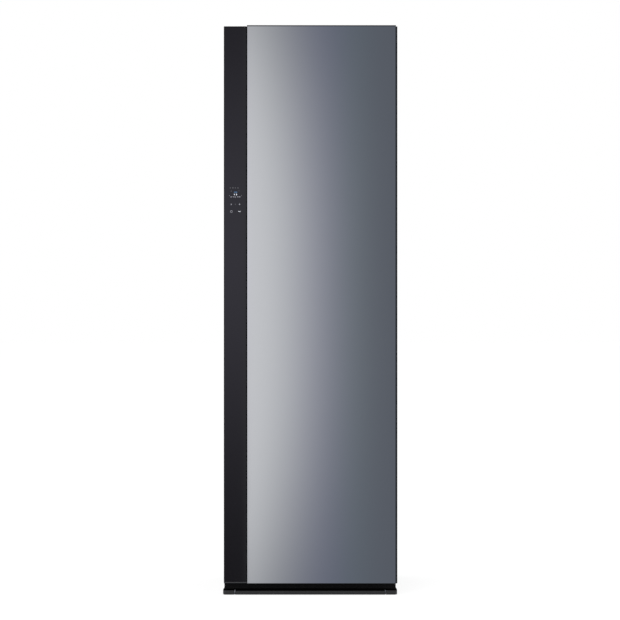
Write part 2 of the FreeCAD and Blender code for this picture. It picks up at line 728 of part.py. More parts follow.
def press_brackets():
    """Three hinge lugs and the latch keeper, on the pocket's floor and side, and the hinge pin."""
    lugs = []
    for bottom in lug_heights():
        top = bottom + LUG_LENGTH
        stem = box(PRESS_AXIS_X - KNUCKLE_RADIUS, PRESS_AXIS_X + KNUCKLE_RADIUS, POCKET_FLOOR,
                   PRESS_AXIS_Y, bottom, top)
        eye = rod_z(PRESS_AXIS_X, PRESS_AXIS_Y, bottom, top, KNUCKLE_RADIUS)
        bore = rod_z(PRESS_AXIS_X, PRESS_AXIS_Y, bottom - 1, top + 1, PRESS_PIN_RADIUS)
        lugs.append(joined([stem, eye]).cut(bore))
    pin = rod_z(PRESS_AXIS_X, PRESS_AXIS_Y, PRESS_BOTTOM, PRESS_TOP, PRESS_PIN_RADIUS)
    keeper_front = PLATE_FRONT + TOUCH_GAP
    keeper = box(-POCKET_HALF_WIDTH, -PRESS_HALF_WIDTH - KEEPER_GAP, keeper_front, LINER_BACK,
                 PRESS_MIDDLE - LATCH_BAR_WIDTH, PRESS_MIDDLE + LATCH_BAR_WIDTH)
    return lugs + [pin, keeper]


def press_latch():
    """Turning latch: lever in front, shaft through the plate, bar behind it."""
    bar_back = PLATE_FRONT - TOUCH_GAP
    bar_front = bar_back - LATCH_BAR_THICKNESS
    lever_front = PLATE_BACK + TOUCH_GAP
    lever_back = lever_front + LEVER_THICKNESS
    shaft = rod_y(LATCH_X, PRESS_MIDDLE, bar_front, lever_back, LATCH_SHAFT_RADIUS)
    half = LATCH_BAR_WIDTH / 2
    bar = box(LATCH_X - half, LATCH_X + half, bar_front, bar_back, PRESS_MIDDLE - half,
              PRESS_MIDDLE + LATCH_BAR_LENGTH)
    hub = rod_y(LATCH_X, PRESS_MIDDLE, lever_front, lever_back, LEVER_WIDTH / 2)
    lever = box(LATCH_X - LEVER_WIDTH / 2, LATCH_X + LEVER_WIDTH / 2, lever_front, lever_back,
                PRESS_MIDDLE - LEVER_LENGTH, PRESS_MIDDLE)
    lever = rounded_edges(lever, LEVER_WIDTH / 3, V(0, 1, 0),
                          lambda point: point.z < PRESS_MIDDLE - LEVER_LENGTH / 2)
    return joined([shaft, bar, hub, lever])


def trouser_holder():
    """Rail over the pad that the trouser hanger hooks on."""
    half = HOLDER_LENGTH / 2
    middle = (PRESS_TOP + POCKET_TOP) / 2
    rod_y_centre = LINER_BACK - HOLDER_ROD_RADIUS
    base_back = POCKET_FLOOR + HOLDER_BASE_THICKNESS
    base = plate_xz(-half, half, middle - HOLDER_BASE_HEIGHT / 2, middle + HOLDER_BASE_HEIGHT / 2,
                    POCKET_FLOOR, base_back, HOLDER_BASE_HEIGHT * 0.15)
    shapes = [base, rod_x(rod_y_centre, middle, -half, half, HOLDER_ROD_RADIUS)]
    for side in (-1, 1):
        x0, x1 = sorted((side * half, side * (half - HOLDER_ARM_WIDTH)))
        shapes.append(box(x0, x1, base_back, rod_y_centre, middle - HOLDER_ARM_HEIGHT / 2,
                          middle + HOLDER_ARM_HEIGHT / 2))
    return joined(shapes)


# ---------------------------------------------------------------- cabinet shell

def screw_places():
    """Places (x, z) of the rear cover's screws."""
    places = []
    pitch = (CABINET_TOP - FOOT_HEIGHT - 2 * SCREW_END_GAP) / (SCREW_ROWS - 1)
    for side in (-1, 1):
        for row in range(SCREW_ROWS):
            places.append((side * (PANEL_X - SCREW_INSET), FOOT_HEIGHT + SCREW_END_GAP + row * pitch))
    return places


def side_panel_left():
    """Sheet side of the cabinet."""
    return box(-PANEL_X, -PANEL_INNER, FRAME_BACK, REAR_INNER, FOOT_HEIGHT, CABINET_TOP - SHEET)


def top_cover():
    """Sheet top with a turned-down edge inside each side panel."""
    sheet = box(-PANEL_X, PANEL_X, FRAME_FRONT, REAR_FACE, CABINET_TOP - SHEET, CABINET_TOP)
    shapes = [sheet]
    for side in (-1, 1):
        inner, outer = sorted((side * (PANEL_INNER - SHEET), side * PANEL_INNER))
        shapes.append(box(inner, outer, FRAME_BACK, REAR_INNER, CABINET_TOP - COVER_EDGE, CABINET_TOP - SHEET))
    return joined(shapes)


INLET_X = PANEL_X - INLET_INSET
INLET_Z = FOOT_HEIGHT + INLET_LIFT


def bead(x, shrink, front, back):
    """Round-ended bar over one stiffening bead of the rear cover."""
    half = BEAD_WIDTH / 2 - shrink
    return plate_xz(x - half, x + half, BEAD_BOTTOM + shrink, CABINET_TOP - BEAD_TOP_GAP - shrink,
                    front, back, half * 0.9)


def rear_cover():
    """Sheet back with beads, vent slots, the hole for the power inlet and the screw holes."""
    shapes = [box(-PANEL_X, PANEL_X, REAR_INNER, REAR_FACE, FOOT_HEIGHT, CABINET_TOP - SHEET)]
    tools = []
    for x in (-BEAD_OFFSET, BEAD_OFFSET):
        shapes.append(bead(x, 0, REAR_INNER, REAR_FACE + BEAD_RISE))
        tools.append(bead(x, SHEET, REAR_INNER - 1, REAR_INNER + BEAD_RISE))
    for index in range(VENT_COUNT):
        bottom = VENT_BOTTOM + index * VENT_PITCH
        tools.append(box(-VENT_LENGTH / 2, VENT_LENGTH / 2, REAR_INNER - 1, REAR_FACE + 1,
                         bottom, bottom + VENT_HEIGHT))
    half = INLET_WIDTH / 2
    tools.append(box(INLET_X - half, INLET_X + half, REAR_INNER - 1, REAR_FACE + 1,
                     INLET_Z, INLET_Z + INLET_HEIGHT))
    for x, z in screw_places():
        tools.append(rod_y(x, z, REAR_INNER - 1, REAR_FACE + 1, SCREW_RADIUS))
    return cut(joined(shapes), tools)


def panel_screws():
    """Screws of the rear cover."""
    screws = []
    for x, z in screw_places():
        shank = rod_y(x, z, REAR_INNER, REAR_FACE, SCREW_RADIUS)
        head = rod_y(x, z, REAR_FACE, REAR_FACE + SCREW_HEAD_HEIGHT, SCREW_HEAD_RADIUS)
        head_back = REAR_FACE + SCREW_HEAD_HEIGHT
        slot = box(x - SCREW_HEAD_RADIUS * 0.75, x + SCREW_HEAD_RADIUS * 0.75, head_back - SCREW_SLOT,
                   head_back + 1, z - SCREW_SLOT / 2, z + SCREW_SLOT / 2)
        screws.append(joined([shank, head]).cut(slot))
    return screws


def rear_spacers():
    """Studs that keep the cabinet off the wall, so that air can leave the vents."""
    spacers = []
    for side in (-1, 1):
        for height in (SPACER_BOTTOM, CABINET_TOP - SPACER_TOP_GAP):
            spacers.append(rod_y(side * (PANEL_X - SPACER_INSET), height, REAR_FACE, Y_WALL,
                                 SPACER_RADIUS))
    return spacers


def power_inlet():
    """Inlet housing in the rear cover, with its socket."""
    half = INLET_WIDTH / 2
    edge = half + INLET_FLANGE
    flange = box(INLET_X - edge, INLET_X + edge, REAR_FACE, REAR_FACE + INLET_PROUD,
                 INLET_Z - INLET_FLANGE, INLET_Z + INLET_HEIGHT + INLET_FLANGE)
    body = box(INLET_X - half, INLET_X + half, REAR_INNER - INLET_DEPTH, REAR_FACE,
               INLET_Z, INLET_Z + INLET_HEIGHT)
    socket = box(INLET_X - half + INLET_WALL, INLET_X + half - INLET_WALL, REAR_FACE - INLET_DEPTH / 2,
                 REAR_FACE + INLET_PROUD + 1, INLET_Z + INLET_WALL, INLET_Z + INLET_HEIGHT - INLET_WALL)
    return joined([flange, body]).cut(socket)


def foot_places():
    """Places (x, y) of the two front feet."""
    x = WIDTH / 2 - FOOT_INSET
    return [(-x, BEAM_FRONT - FOOT_RADIUS), (x, BEAM_FRONT - FOOT_RADIUS)]


def base_frame():
    """Base pan with a rim, the hollow front beam and a tab over each front foot."""
    floor = box(-PANEL_INNER, PANEL_INNER, BEAM_BACK, REAR_INNER, FOOT_HEIGHT, PAN_FLOOR)
    rim = box(-PANEL_INNER, PANEL_INNER, BEAM_BACK, REAR_INNER, PAN_FLOOR, PAN_FLOOR + PAN_RIM)
    hollow = box(-PANEL_INNER + PAN_WALL, PANEL_INNER - PAN_WALL, BEAM_BACK - 1,
                 REAR_INNER - PAN_WALL, PAN_FLOOR - 1, PAN_FLOOR + PAN_RIM + 1)
    beam_x = PLINTH_X - PLINTH_WALL
    beam = box(-beam_x, beam_x, BEAM_FRONT, BEAM_BACK, FOOT_HEIGHT, BEAM_TOP)
    tunnel = box(-beam_x - 1, beam_x + 1, BEAM_FRONT + PAN_WALL, BEAM_BACK - PAN_WALL,
                 FOOT_HEIGHT + PAN_WALL, BEAM_TOP - PAN_WALL)
    shapes = [floor, rim.cut(hollow), beam.cut(tunnel)]
    holes = []
    for x, y in foot_places():
        shapes.append(box(x - FOOT_RADIUS, x + FOOT_RADIUS, y - FOOT_RADIUS / 2, BEAM_FRONT,
                          FOOT_HEIGHT, FOOT_HEIGHT + FOOT_TAB))
        holes.append(rod_z(x, y, FOOT_HEIGHT - 1, FOOT_HEIGHT + FOOT_TAB + 1,
                           FOOT_STEM_RADIUS + RUN_CLEARANCE))
    return cut(joined(shapes), holes)


def front_foot(x, y):
    """Levelling foot: floor disc, nut and stem."""
    disc = rod_z(x, y, 0, FOOT_PLATE, FOOT_RADIUS)
    half = FOOT_NUT_FLATS / 2
    nut = rod_z(x, y, FOOT_PLATE, FOOT_PLATE + FOOT_NUT_HEIGHT, FOOT_NUT_FLATS / math.sqrt(3))
    for turn in range(3):
        slab = box(-FOOT_NUT_FLATS, FOOT_NUT_FLATS, -half, half, FOOT_PLATE, FOOT_HEIGHT)
        slab.rotate(V(0, 0, 0), V(0, 0, 1), 60 * turn)
        nut = nut.common(moved(slab, x, y))
    stem = rod_z(x, y, FOOT_PLATE, FOOT_HEIGHT + FOOT_STEM_LENGTH, FOOT_STEM_RADIUS)
    return joined([disc, nut, stem])


def rear_feet():
    """Fixed rear feet under the base pan."""
    x = WIDTH / 2 - FOOT_INSET
    y = REAR_INNER - FOOT_INSET
    return [rod_z(-x, y, 0, FOOT_HEIGHT, FOOT_RADIUS), rod_z(x, y, 0, FOOT_HEIGHT, FOOT_RADIUS)]


# ---------------------------------------------------------------- plinth and foot rail

def rail_outline():
    """Closed wire of the rail's section in the YZ plane at x = 0."""
    top_step = V(0, RAIL_FRONT, RAIL_TOP - 1)
    middle = V(0, (RAIL_FRONT + PLINTH_FRONT) / 2, (RAIL_TOP + RAIL_FLARE_TOP) / 2)
    top = V(0, PLINTH_FRONT, RAIL_FLARE_TOP)
    bulge = (top_step.add(middle) * 0.5).add(V(0, -RAIL_BULGE, RAIL_BULGE))
    hollow = (middle.add(top) * 0.5).add(V(0, RAIL_HOLLOW, -RAIL_HOLLOW))
    back = RAIL_FRONT + RAIL_THICKNESS
    corners = [top,
               V(0, PLINTH_FRONT, RAIL_TOP),
               V(0, back, RAIL_TOP - 1),
               V(0, back, RAIL_CLEARANCE),
               V(0, RAIL_FRONT + RAIL_CHAMFER, RAIL_CLEARANCE),
               V(0, RAIL_FRONT, RAIL_CLEARANCE + RAIL_CHAMFER),
               top_step]
    edges = [Part.Arc(top_step, bulge, middle).toShape(), Part.Arc(middle, hollow, top).toShape()]
    for start, end in zip(corners, corners[1:]):
        edges.append(Part.LineSegment(start, end).toShape())
    return Part.Wire(Part.__sortEdges__(edges))


def front_base_cover():
    """Plinth cover with the middle of the foot rail in one moulding."""
    outside = box(-PLINTH_X, PLINTH_X, PLINTH_FRONT, BEAM_FRONT, RAIL_TOP, PLINTH_TOP)
    inside = box(-PLINTH_X + PLINTH_WALL, PLINTH_X - PLINTH_WALL, PLINTH_FRONT + PLINTH_WALL,
                 BEAM_FRONT + 1, RAIL_TOP - 1, PLINTH_TOP - PLINTH_WALL)
    plinth = outside.cut(inside)
    length = RAIL_END - CAP_JOINT / 2
    rail = moved(Part.Face(rail_outline()).extrude(V(2 * length, 0, 0)), x=-length)
    return joined([plinth, rail])


def base_cap_right():
    """Corner piece of the foot rail, wrapped around the plinth's side."""
    back = BEAM_FRONT
    x0 = RAIL_END + CAP_JOINT / 2
    low = box(x0, X_RIGHT, RAIL_FRONT, back, RAIL_CLEARANCE, RAIL_TOP - 1)
    low = rounded_edges(low, CAP_CORNER, V(0, 0, 1),
                        lambda point: point.x > X_RIGHT - 1 and point.y < RAIL_FRONT + 1)
    low = low.makeChamfer(RAIL_CHAMFER, [edge for edge in low.Edges
                                         if edge.BoundBox.ZMax < RAIL_CLEARANCE + 0.01
                                         and (edge.CenterOfMass.y < RAIL_FRONT + CAP_CORNER / 2
                                              or edge.CenterOfMass.x > X_RIGHT - 1)])
    foot = Part.makePolygon([V(x0, RAIL_FRONT, RAIL_TOP - 1),
                             V(X_RIGHT - CAP_CORNER, RAIL_FRONT, RAIL_TOP - 1),
                             V(X_RIGHT, RAIL_FRONT + CAP_CORNER, RAIL_TOP - 1),
                             V(X_RIGHT, back, RAIL_TOP - 1),
                             V(x0, back, RAIL_TOP - 1),
                             V(x0, RAIL_FRONT, RAIL_TOP - 1)])
    side = PLINTH_X + CAP_LAP
    head = Part.makePolygon([V(x0, PLINTH_FRONT - CAP_LAP, RAIL_FLARE_TOP),
                             V(side - 1, PLINTH_FRONT - CAP_LAP, RAIL_FLARE_TOP),
                             V(side, PLINTH_FRONT + 1, RAIL_FLARE_TOP),
                             V(side, back, RAIL_FLARE_TOP),
                             V(x0, back, RAIL_FLARE_TOP),
                             V(x0, PLINTH_FRONT - CAP_LAP, RAIL_FLARE_TOP)])
    flare = Part.makeLoft([foot, head], True, True)
    cap = low.fuse(flare).removeSplitter()
    inner = RAIL_FRONT + RAIL_THICKNESS
    hollow = box(x0 - 1, X_RIGHT - RAIL_THICKNESS, inner, back + 1, -1, RAIL_FLARE_TOP + 1)
    plinth = box(x0 - 1, PLINTH_X, PLINTH_FRONT, back + 1, RAIL_TOP - 1, PLINTH_TOP)
    return cut(cap, [hollow, plinth])


# ---------------------------------------------------------------- front frame and hinge brackets

def front_frame():
    """Frame around the cabinet's opening, standing on two tabs on the beam."""
    plate = box(-PANEL_X, PANEL_X, FRAME_FRONT, FRAME_BACK, LOWER_ARM_Z + ARM_THICKNESS,
                CABINET_TOP - SHEET)
    opening = plate_xz(-TUB_INNER_X, TUB_INNER_X, MODULE_SILL, TUB_CEILING,
                       FRAME_FRONT - 1, FRAME_BACK + 1, FRAME_CORNER)
    tabs = []
    for x in (-TUB_INNER_X, 0):
        tabs.append(box(x, x + TUB_INNER_X / 2, FRAME_FRONT, FRAME_BACK, BEAM_TOP,
                        LOWER_ARM_Z + ARM_THICKNESS))
    return joined([plate.cut(opening)] + tabs)


def hinge_arm(z0, plate_back):
    """Flat arm with a round end over the hinge axis and a wider foot behind it."""
    z1 = z0 + ARM_THICKNESS
    end = rod_z(HINGE_X, HINGE_Y, z0, z1, ARM_HALF_WIDTH)
    arm = box(HINGE_X - ARM_HALF_WIDTH, HINGE_X + ARM_HALF_WIDTH, HINGE_Y, FRAME_FRONT, z0, z1)
    right = HINGE_X + ARM_HALF_WIDTH
    foot = box(right - HINGE_PLATE_WIDTH, right, FRAME_FRONT, plate_back, z0, z1)
    return joined([end, arm, foot])


def hinge_bracket_upper():
    """Bracket on the top cover, with the pin that goes down into the door."""
    arm = hinge_arm(UPPER_ARM_Z, FRAME_BACK + HINGE_PLATE_DEPTH)
    pin = rod_z(HINGE_X, HINGE_Y, BODY_TOP - HINGE_PIN_LENGTH, UPPER_ARM_Z, HINGE_PIN_RADIUS)
    return joined([arm, pin])


def hinge_bracket_lower():
    """Bracket on the front beam, with the pin that goes up into the door."""
    arm = hinge_arm(LOWER_ARM_Z, BEAM_BACK)
    top = LOWER_ARM_Z + ARM_THICKNESS
    pin = rod_z(HINGE_X, HINGE_Y, top, BODY_BOTTOM + HINGE_PIN_LENGTH, HINGE_PIN_RADIUS)
    return joined([arm, pin])


def hinge_cover():
    """Moulded cap over the upper bracket."""
    wall = HINGE_COVER_WALL
    gap = HINGE_COVER_GAP
    right = HINGE_X + ARM_HALF_WIDTH
    left = right - HINGE_PLATE_WIDTH
    back = FRAME_BACK + HINGE_PLATE_DEPTH
    top = UPPER_ARM_Z + ARM_THICKNESS + gap + wall
    outside = box(left - gap - wall, right + gap + wall, FRAME_FRONT, back + gap + wall,
                  UPPER_ARM_Z, top)
    outside = rounded_edges(outside, HINGE_COVER_CORNER, V(0, 0, 1),
                            lambda point: point.y > FRAME_BACK)
    inside = box(left - gap, right + gap, FRAME_FRONT - 1, back + gap, UPPER_ARM_Z - 1, top - wall)
    return outside.cut(inside)


# ---------------------------------------------------------------- treatment tub

def peg_places():
    """Places (y, z) of the shelf pegs on each side wall."""
    z = SHELF_HEIGHT - PEG_RADIUS
    return [(FRAME_BACK + PEG_INSET, z), (TUB_INNER_BACK - PEG_INSET, z)]


OUTLET_HALF_WIDTH = BLOWER_RADIUS + GRILLE_LAP
OUTLET_FRONT = BAY_BACK + OUTLET_GAP
OUTLET_BACK = OUTLET_FRONT + BLOWER_DEPTH
NOZZLE_Y = OUTLET_FRONT - 3 * NOZZLE_RADIUS
SLOT_HALF_LENGTH = HANGER_STROKE + POST_SIZE / 2 + SLOT_END_GAP
SLOT_HALF_WIDTH = POST_SIZE / 2 + SLOT_SIDE_GAP


def tub():
    """Moulded garment space, open in front, with its pegs and openings."""
    outside = box(-TUB_OUTER_X, TUB_OUTER_X, FRAME_BACK, TUB_BACK, TUB_UNDER, TUB_ROOF)
    inside = box(-TUB_INNER_X, TUB_INNER_X, FRAME_BACK - 1, TUB_INNER_BACK, TUB_FLOOR, TUB_CEILING)
    outside = rounded_edges(outside, TUB_CORNER + TUB_WALL, V(0, 0, 1),
                            lambda point: point.y > TUB_MID_Y)
    inside = rounded_edges(inside, TUB_CORNER, V(0, 0, 1), lambda point: point.y > TUB_MID_Y)
    shapes = [outside.cut(inside)]
    for y, z in peg_places():
        shapes.append(rod_x(y, z, -TUB_INNER_X - 1, -TUB_INNER_X + PEG_LENGTH, PEG_RADIUS))
        shapes.append(rod_x(y, z, TUB_INNER_X - PEG_LENGTH, TUB_INNER_X + 1, PEG_RADIUS))
    outlet = box(-BLOWER_RADIUS, BLOWER_RADIUS, OUTLET_FRONT + GRILLE_LAP, OUTLET_BACK - GRILLE_LAP,
                 TUB_UNDER - 1, TUB_FLOOR + 1)
    nozzle = rod_z(0, NOZZLE_Y, TUB_UNDER - 1, TUB_FLOOR + 1, NOZZLE_RADIUS / 2)
    slot = box(-SLOT_HALF_LENGTH, SLOT_HALF_LENGTH, TUB_MID_Y - SLOT_HALF_WIDTH,
               TUB_MID_Y + SLOT_HALF_WIDTH, TUB_CEILING - 1, TUB_ROOF + 1)
    return cut(joined(shapes), [outlet, nozzle, slot])


def air_outlet_grille():
    """Slotted grille over the air outlet and the steam nozzle in front of it."""
    grille = box(-OUTLET_HALF_WIDTH, OUTLET_HALF_WIDTH, OUTLET_FRONT, OUTLET_BACK,
                 TUB_FLOOR, TUB_FLOOR + GRILLE_THICKNESS)
    pitch = (OUTLET_BACK - OUTLET_FRONT - 2 * GRILLE_EDGE) / GRILLE_SLOTS
    slots = []
    for index in range(GRILLE_SLOTS):
        start = OUTLET_FRONT + GRILLE_EDGE + (index + 0.25) * pitch
        slots.append(box(-OUTLET_HALF_WIDTH + GRILLE_END, OUTLET_HALF_WIDTH - GRILLE_END,
                         start, start + pitch / 2,
                         TUB_FLOOR - 1, TUB_FLOOR + GRILLE_THICKNESS + 1))
    neck = rod_z(0, NOZZLE_Y, TUB_UNDER, TUB_FLOOR, NOZZLE_RADIUS / 2)
    dome = Part.makeCone(NOZZLE_RADIUS, NOZZLE_RADIUS / 2, NOZZLE_HEIGHT, V(0, NOZZLE_Y, TUB_FLOOR))
    hole = rod_z(0, NOZZLE_Y, TUB_UNDER - 1, TUB_FLOOR + NOZZLE_HEIGHT + 1, NOZZLE_RADIUS / 4)
    return cut(grille, slots), joined([neck, dome]).cut(hole)


def interior_lamp():
    """Lamp lens under the tub's ceiling, near the door."""
    front = FRAME_BACK + LAMP_SETBACK
    lens = box(-LAMP_LENGTH / 2, LAMP_LENGTH / 2, front, front + LAMP_DEPTH,
               TUB_CEILING - LAMP_THICKNESS, TUB_CEILING)
    return rounded_edges(lens, LAMP_CORNER, V(0, 0, 1), lambda point: True)


def cabinet_insulation():
    """Foam slabs between the shell and the tub: left, right and rear."""
    left = box(-PANEL_INNER, -TUB_OUTER_X, FRAME_BACK, TUB_BACK, TUB_UNDER, TUB_ROOF)
    rear = box(-TUB_OUTER_X, TUB_OUTER_X, TUB_BACK, REAR_INNER, TUB_UNDER, TUB_ROOF)
    return left, mirrored(left), rear


def shelf():
    """Slatted shelf that lies on the four pegs."""
    x = TUB_INNER_X - SHELF_GAP
    front = FRAME_BACK + SHELF_FRONT_GAP
    back = TUB_INNER_BACK - SHELF_GAP
    top = SHELF_HEIGHT + SHELF_THICKNESS
    board = box(-x, x, front, back, SHELF_HEIGHT, top)
    board = rounded_edges(board, TUB_CORNER, V(0, 0, 1), lambda point: True)
    pitch = 2 * (x - SHELF_RIM) / SHELF_SLAT_COUNT
    slots = []
    for index in range(SHELF_SLAT_COUNT):
        start = -x + SHELF_RIM + index * pitch + SHELF_BAR / 2
        slots.append(box(start, start + pitch - SHELF_BAR, front + SHELF_RIM, back - SHELF_RIM,
                         SHELF_HEIGHT - 1, top + 1))
    return cut(board, slots)


# ---------------------------------------------------------------- moving hanger

GUIDE_Z = TUB_CEILING - GUIDE_DROP
GUIDE_HALF_LENGTH = TUB_INNER_X - GUIDE_END_GAP
BAR_HALF_LENGTH = TUB_INNER_X - BAR_END_GAP
BAR_TOP = TUB_CEILING - BAR_DROP
BAR_UNDER = BAR_TOP - BAR_HEIGHT
CARRIER_TOP = GUIDE_Z + CARRIER_HALF_HEIGHT
CARRIER_UNDER = GUIDE_Z - CARRIER_HALF_HEIGHT
GUIDE_HALF_DEPTH = GUIDE_SPACING / 2 + GUIDE_RADIUS + BLOCK_WALL


def guide_lines():
    """The Y places of the two guide rods."""
    return [TUB_MID_Y - GUIDE_SPACING / 2, TUB_MID_Y + GUIDE_SPACING / 2]


def hanger_guides():
    """Two guide rods and the two brackets that hold them under the ceiling."""
    solids = []
    for y in guide_lines():
        solids.append(rod_x(y, GUIDE_Z, -GUIDE_HALF_LENGTH, GUIDE_HALF_LENGTH, GUIDE_RADIUS))
    for side in (-1, 1):
        x0, x1 = sorted((side * GUIDE_HALF_LENGTH, side * (GUIDE_HALF_LENGTH - BRACKET_LENGTH)))
        bracket = box(x0, x1, TUB_MID_Y - GUIDE_HALF_DEPTH, TUB_MID_Y + GUIDE_HALF_DEPTH,
                      CARRIER_UNDER, TUB_CEILING)
        bores = [rod_x(y, GUIDE_Z, x0 - 1, x1 + 1, GUIDE_RADIUS) for y in guide_lines()]
        solids.append(cut(bracket, bores))
    return solids


YOKE_Z = TUB_ROOF + YOKE_RISE


def bar_carrier():
    """Slide blocks on the rods, the bridge between them and the yoke over the ceiling."""
    shapes = []
    for side in (-1, 1):
        middle = side * CARRIER_OFFSET
        shapes.append(box(middle - CARRIER_LENGTH / 2, middle + CARRIER_LENGTH / 2,
                          TUB_MID_Y - GUIDE_HALF_DEPTH, TUB_MID_Y + GUIDE_HALF_DEPTH,
                          CARRIER_UNDER, CARRIER_TOP))
    reach = CARRIER_OFFSET + CARRIER_LENGTH / 2
    shapes.append(box(-reach, reach, TUB_MID_Y - GUIDE_SPACING / 2, TUB_MID_Y + GUIDE_SPACING / 2,
                      CARRIER_TOP - 1, CARRIER_TOP + BRIDGE_THICKNESS))
    half = POST_SIZE / 2
    shapes.append(box(-half, half, TUB_MID_Y - half, TUB_MID_Y + half, CARRIER_TOP, YOKE_Z + 1))
    width = CRANK_PIN_RADIUS + YOKE_RIM
    shapes.append(box(-width, width, TUB_MID_Y - YOKE_HALF_LENGTH, TUB_MID_Y + YOKE_HALF_LENGTH,
                      YOKE_Z, YOKE_Z + YOKE_THICKNESS))
    bores = []
    for y in guide_lines():
        bores.append(rod_x(y, GUIDE_Z, -reach - 1, reach + 1, GUIDE_RADIUS + RUN_CLEARANCE))
    slot_x = CRANK_PIN_RADIUS + RUN_CLEARANCE
    slot_y = HANGER_STROKE + CRANK_PIN_RADIUS + 2
    bores.append(box(-slot_x, slot_x, TUB_MID_Y - slot_y, TUB_MID_Y + slot_y,
                     YOKE_Z + 1, YOKE_Z + YOKE_THICKNESS + 1))
    return cut(joined(shapes), bores)


def notch_places():
    """The X places of the hanger notches."""
    first = -NOTCH_PITCH * (NOTCH_COUNT - 1) / 2
    return [first + NOTCH_PITCH * index for index in range(NOTCH_COUNT)]


def hanger_bar():
    """Bar with a notch for each hanger, hung from the carrier by two stems."""
    y0 = TUB_MID_Y - BAR_WIDTH / 2
    y1 = TUB_MID_Y + BAR_WIDTH / 2
    bar = box(-BAR_HALF_LENGTH, BAR_HALF_LENGTH, y0, y1, BAR_UNDER, BAR_TOP)
    bar = rounded_edges(bar, BAR_WIDTH / 5, V(1, 0, 0), lambda point: point.z < BAR_TOP - 1)
    shapes = [bar]
    for side in (-1, 1):
        middle = side * CARRIER_OFFSET
        shapes.append(box(middle - STEM_WIDTH / 2, middle + STEM_WIDTH / 2, y0 + STEM_INSET,
                          y1 - STEM_INSET, BAR_TOP - 1, CARRIER_UNDER))
    notches = [rod_y(x, BAR_TOP, y0 - 1, y1 + 1, NOTCH_RADIUS) for x in notch_places()]
    return cut(joined(shapes), notches)


# ---------------------------------------------------------------- hanger drive over the tub

CRANK_UNDER = YOKE_Z + YOKE_THICKNESS + CRANK_PIN_GAP + CRANK_PIN_LENGTH
CRANK_TOP = CRANK_UNDER + PULLEY_THICKNESS
DRIVE_TOP = CRANK_TOP + DRIVE_HEADROOM
DRIVE_LEG_Y = CRANK_RADIUS + DRIVE_LEG_GAP
MOTOR_X = PULLEY_DISTANCE


def drive_frame():
    """Bridge on the tub's roof that carries the crank's shaft and the motor."""
    left = -CRANK_RADIUS * 0.6
    right = MOTOR_X + MOTOR_RADIUS
    top = box(left, right, TUB_MID_Y - DRIVE_LEG_Y - DRIVE_PLATE, TUB_MID_Y + DRIVE_LEG_Y + DRIVE_PLATE,
              DRIVE_TOP, DRIVE_TOP + DRIVE_PLATE)
    shapes = [top]
    for side in (-1, 1):
        y0, y1 = sorted((side * DRIVE_LEG_Y, side * (DRIVE_LEG_Y + DRIVE_PLATE)))
        shapes.append(box(left, right, TUB_MID_Y + y0, TUB_MID_Y + y1, TUB_ROOF, DRIVE_TOP + 1))
    bearing = rod_z(0, TUB_MID_Y, DRIVE_TOP - DRIVE_HEADROOM / 2, DRIVE_TOP, DRIVE_SHAFT_RADIUS * 2)
    shapes.append(bearing)
    bores = []
    for x in (0, MOTOR_X):
        bores.append(rod_z(x, TUB_MID_Y, TUB_ROOF, DRIVE_TOP + DRIVE_PLATE + 1,
                           DRIVE_SHAFT_RADIUS + RUN_CLEARANCE))
    return cut(joined(shapes), bores)


def pulley(x, radius):
    """Flat pulley with two flanges."""
    body = rod_z(x, TUB_MID_Y, CRANK_UNDER, CRANK_TOP, radius)
    rims = []
    for z0 in (CRANK_UNDER, CRANK_TOP - PULLEY_FLANGE):
        rims.append(rod_z(x, TUB_MID_Y, z0, z0 + PULLEY_FLANGE, radius + BELT_THICKNESS + BELT_MARGIN))
    return joined([body] + rims)


def crank_wheel():
    """Large pulley with its shaft and the eccentric pin that works in the yoke."""
    shaft = rod_z(0, TUB_MID_Y, CRANK_TOP - 1, DRIVE_TOP + DRIVE_PLATE, DRIVE_SHAFT_RADIUS)
    pin = rod_z(0, TUB_MID_Y - HANGER_STROKE, CRANK_UNDER - CRANK_PIN_LENGTH, CRANK_UNDER + 1,
                CRANK_PIN_RADIUS)
    wheel = joined([pulley(0, CRANK_RADIUS), shaft, pin])
    hole_radius = CRANK_RADIUS * 0.16
    holes = []
    for index in range(4):
        angle = math.radians(45 + 90 * index)
        reach = CRANK_RADIUS * 0.66
        holes.append(rod_z(reach * math.cos(angle), TUB_MID_Y + reach * math.sin(angle),
                           CRANK_UNDER - 1, CRANK_TOP + 1, hole_radius))
    return cut(wheel, holes)


def motor_pulley():
    """Small pulley on the motor's shaft."""
    shaft = rod_z(MOTOR_X, TUB_MID_Y, CRANK_TOP - 1, DRIVE_TOP + DRIVE_PLATE, DRIVE_SHAFT_RADIUS)
    return joined([pulley(MOTOR_X, MOTOR_PULLEY_RADIUS), shaft])


def drive_motor():
    """Motor on top of the drive frame."""
    base = DRIVE_TOP + DRIVE_PLATE
    body = rod_z(MOTOR_X, TUB_MID_Y, base, base + MOTOR_HEIGHT, MOTOR_RADIUS - MOTOR_FLANGE)
    flange = rod_z(MOTOR_X, TUB_MID_Y, base, base + MOTOR_FLANGE, MOTOR_RADIUS)
    return joined([body, flange])


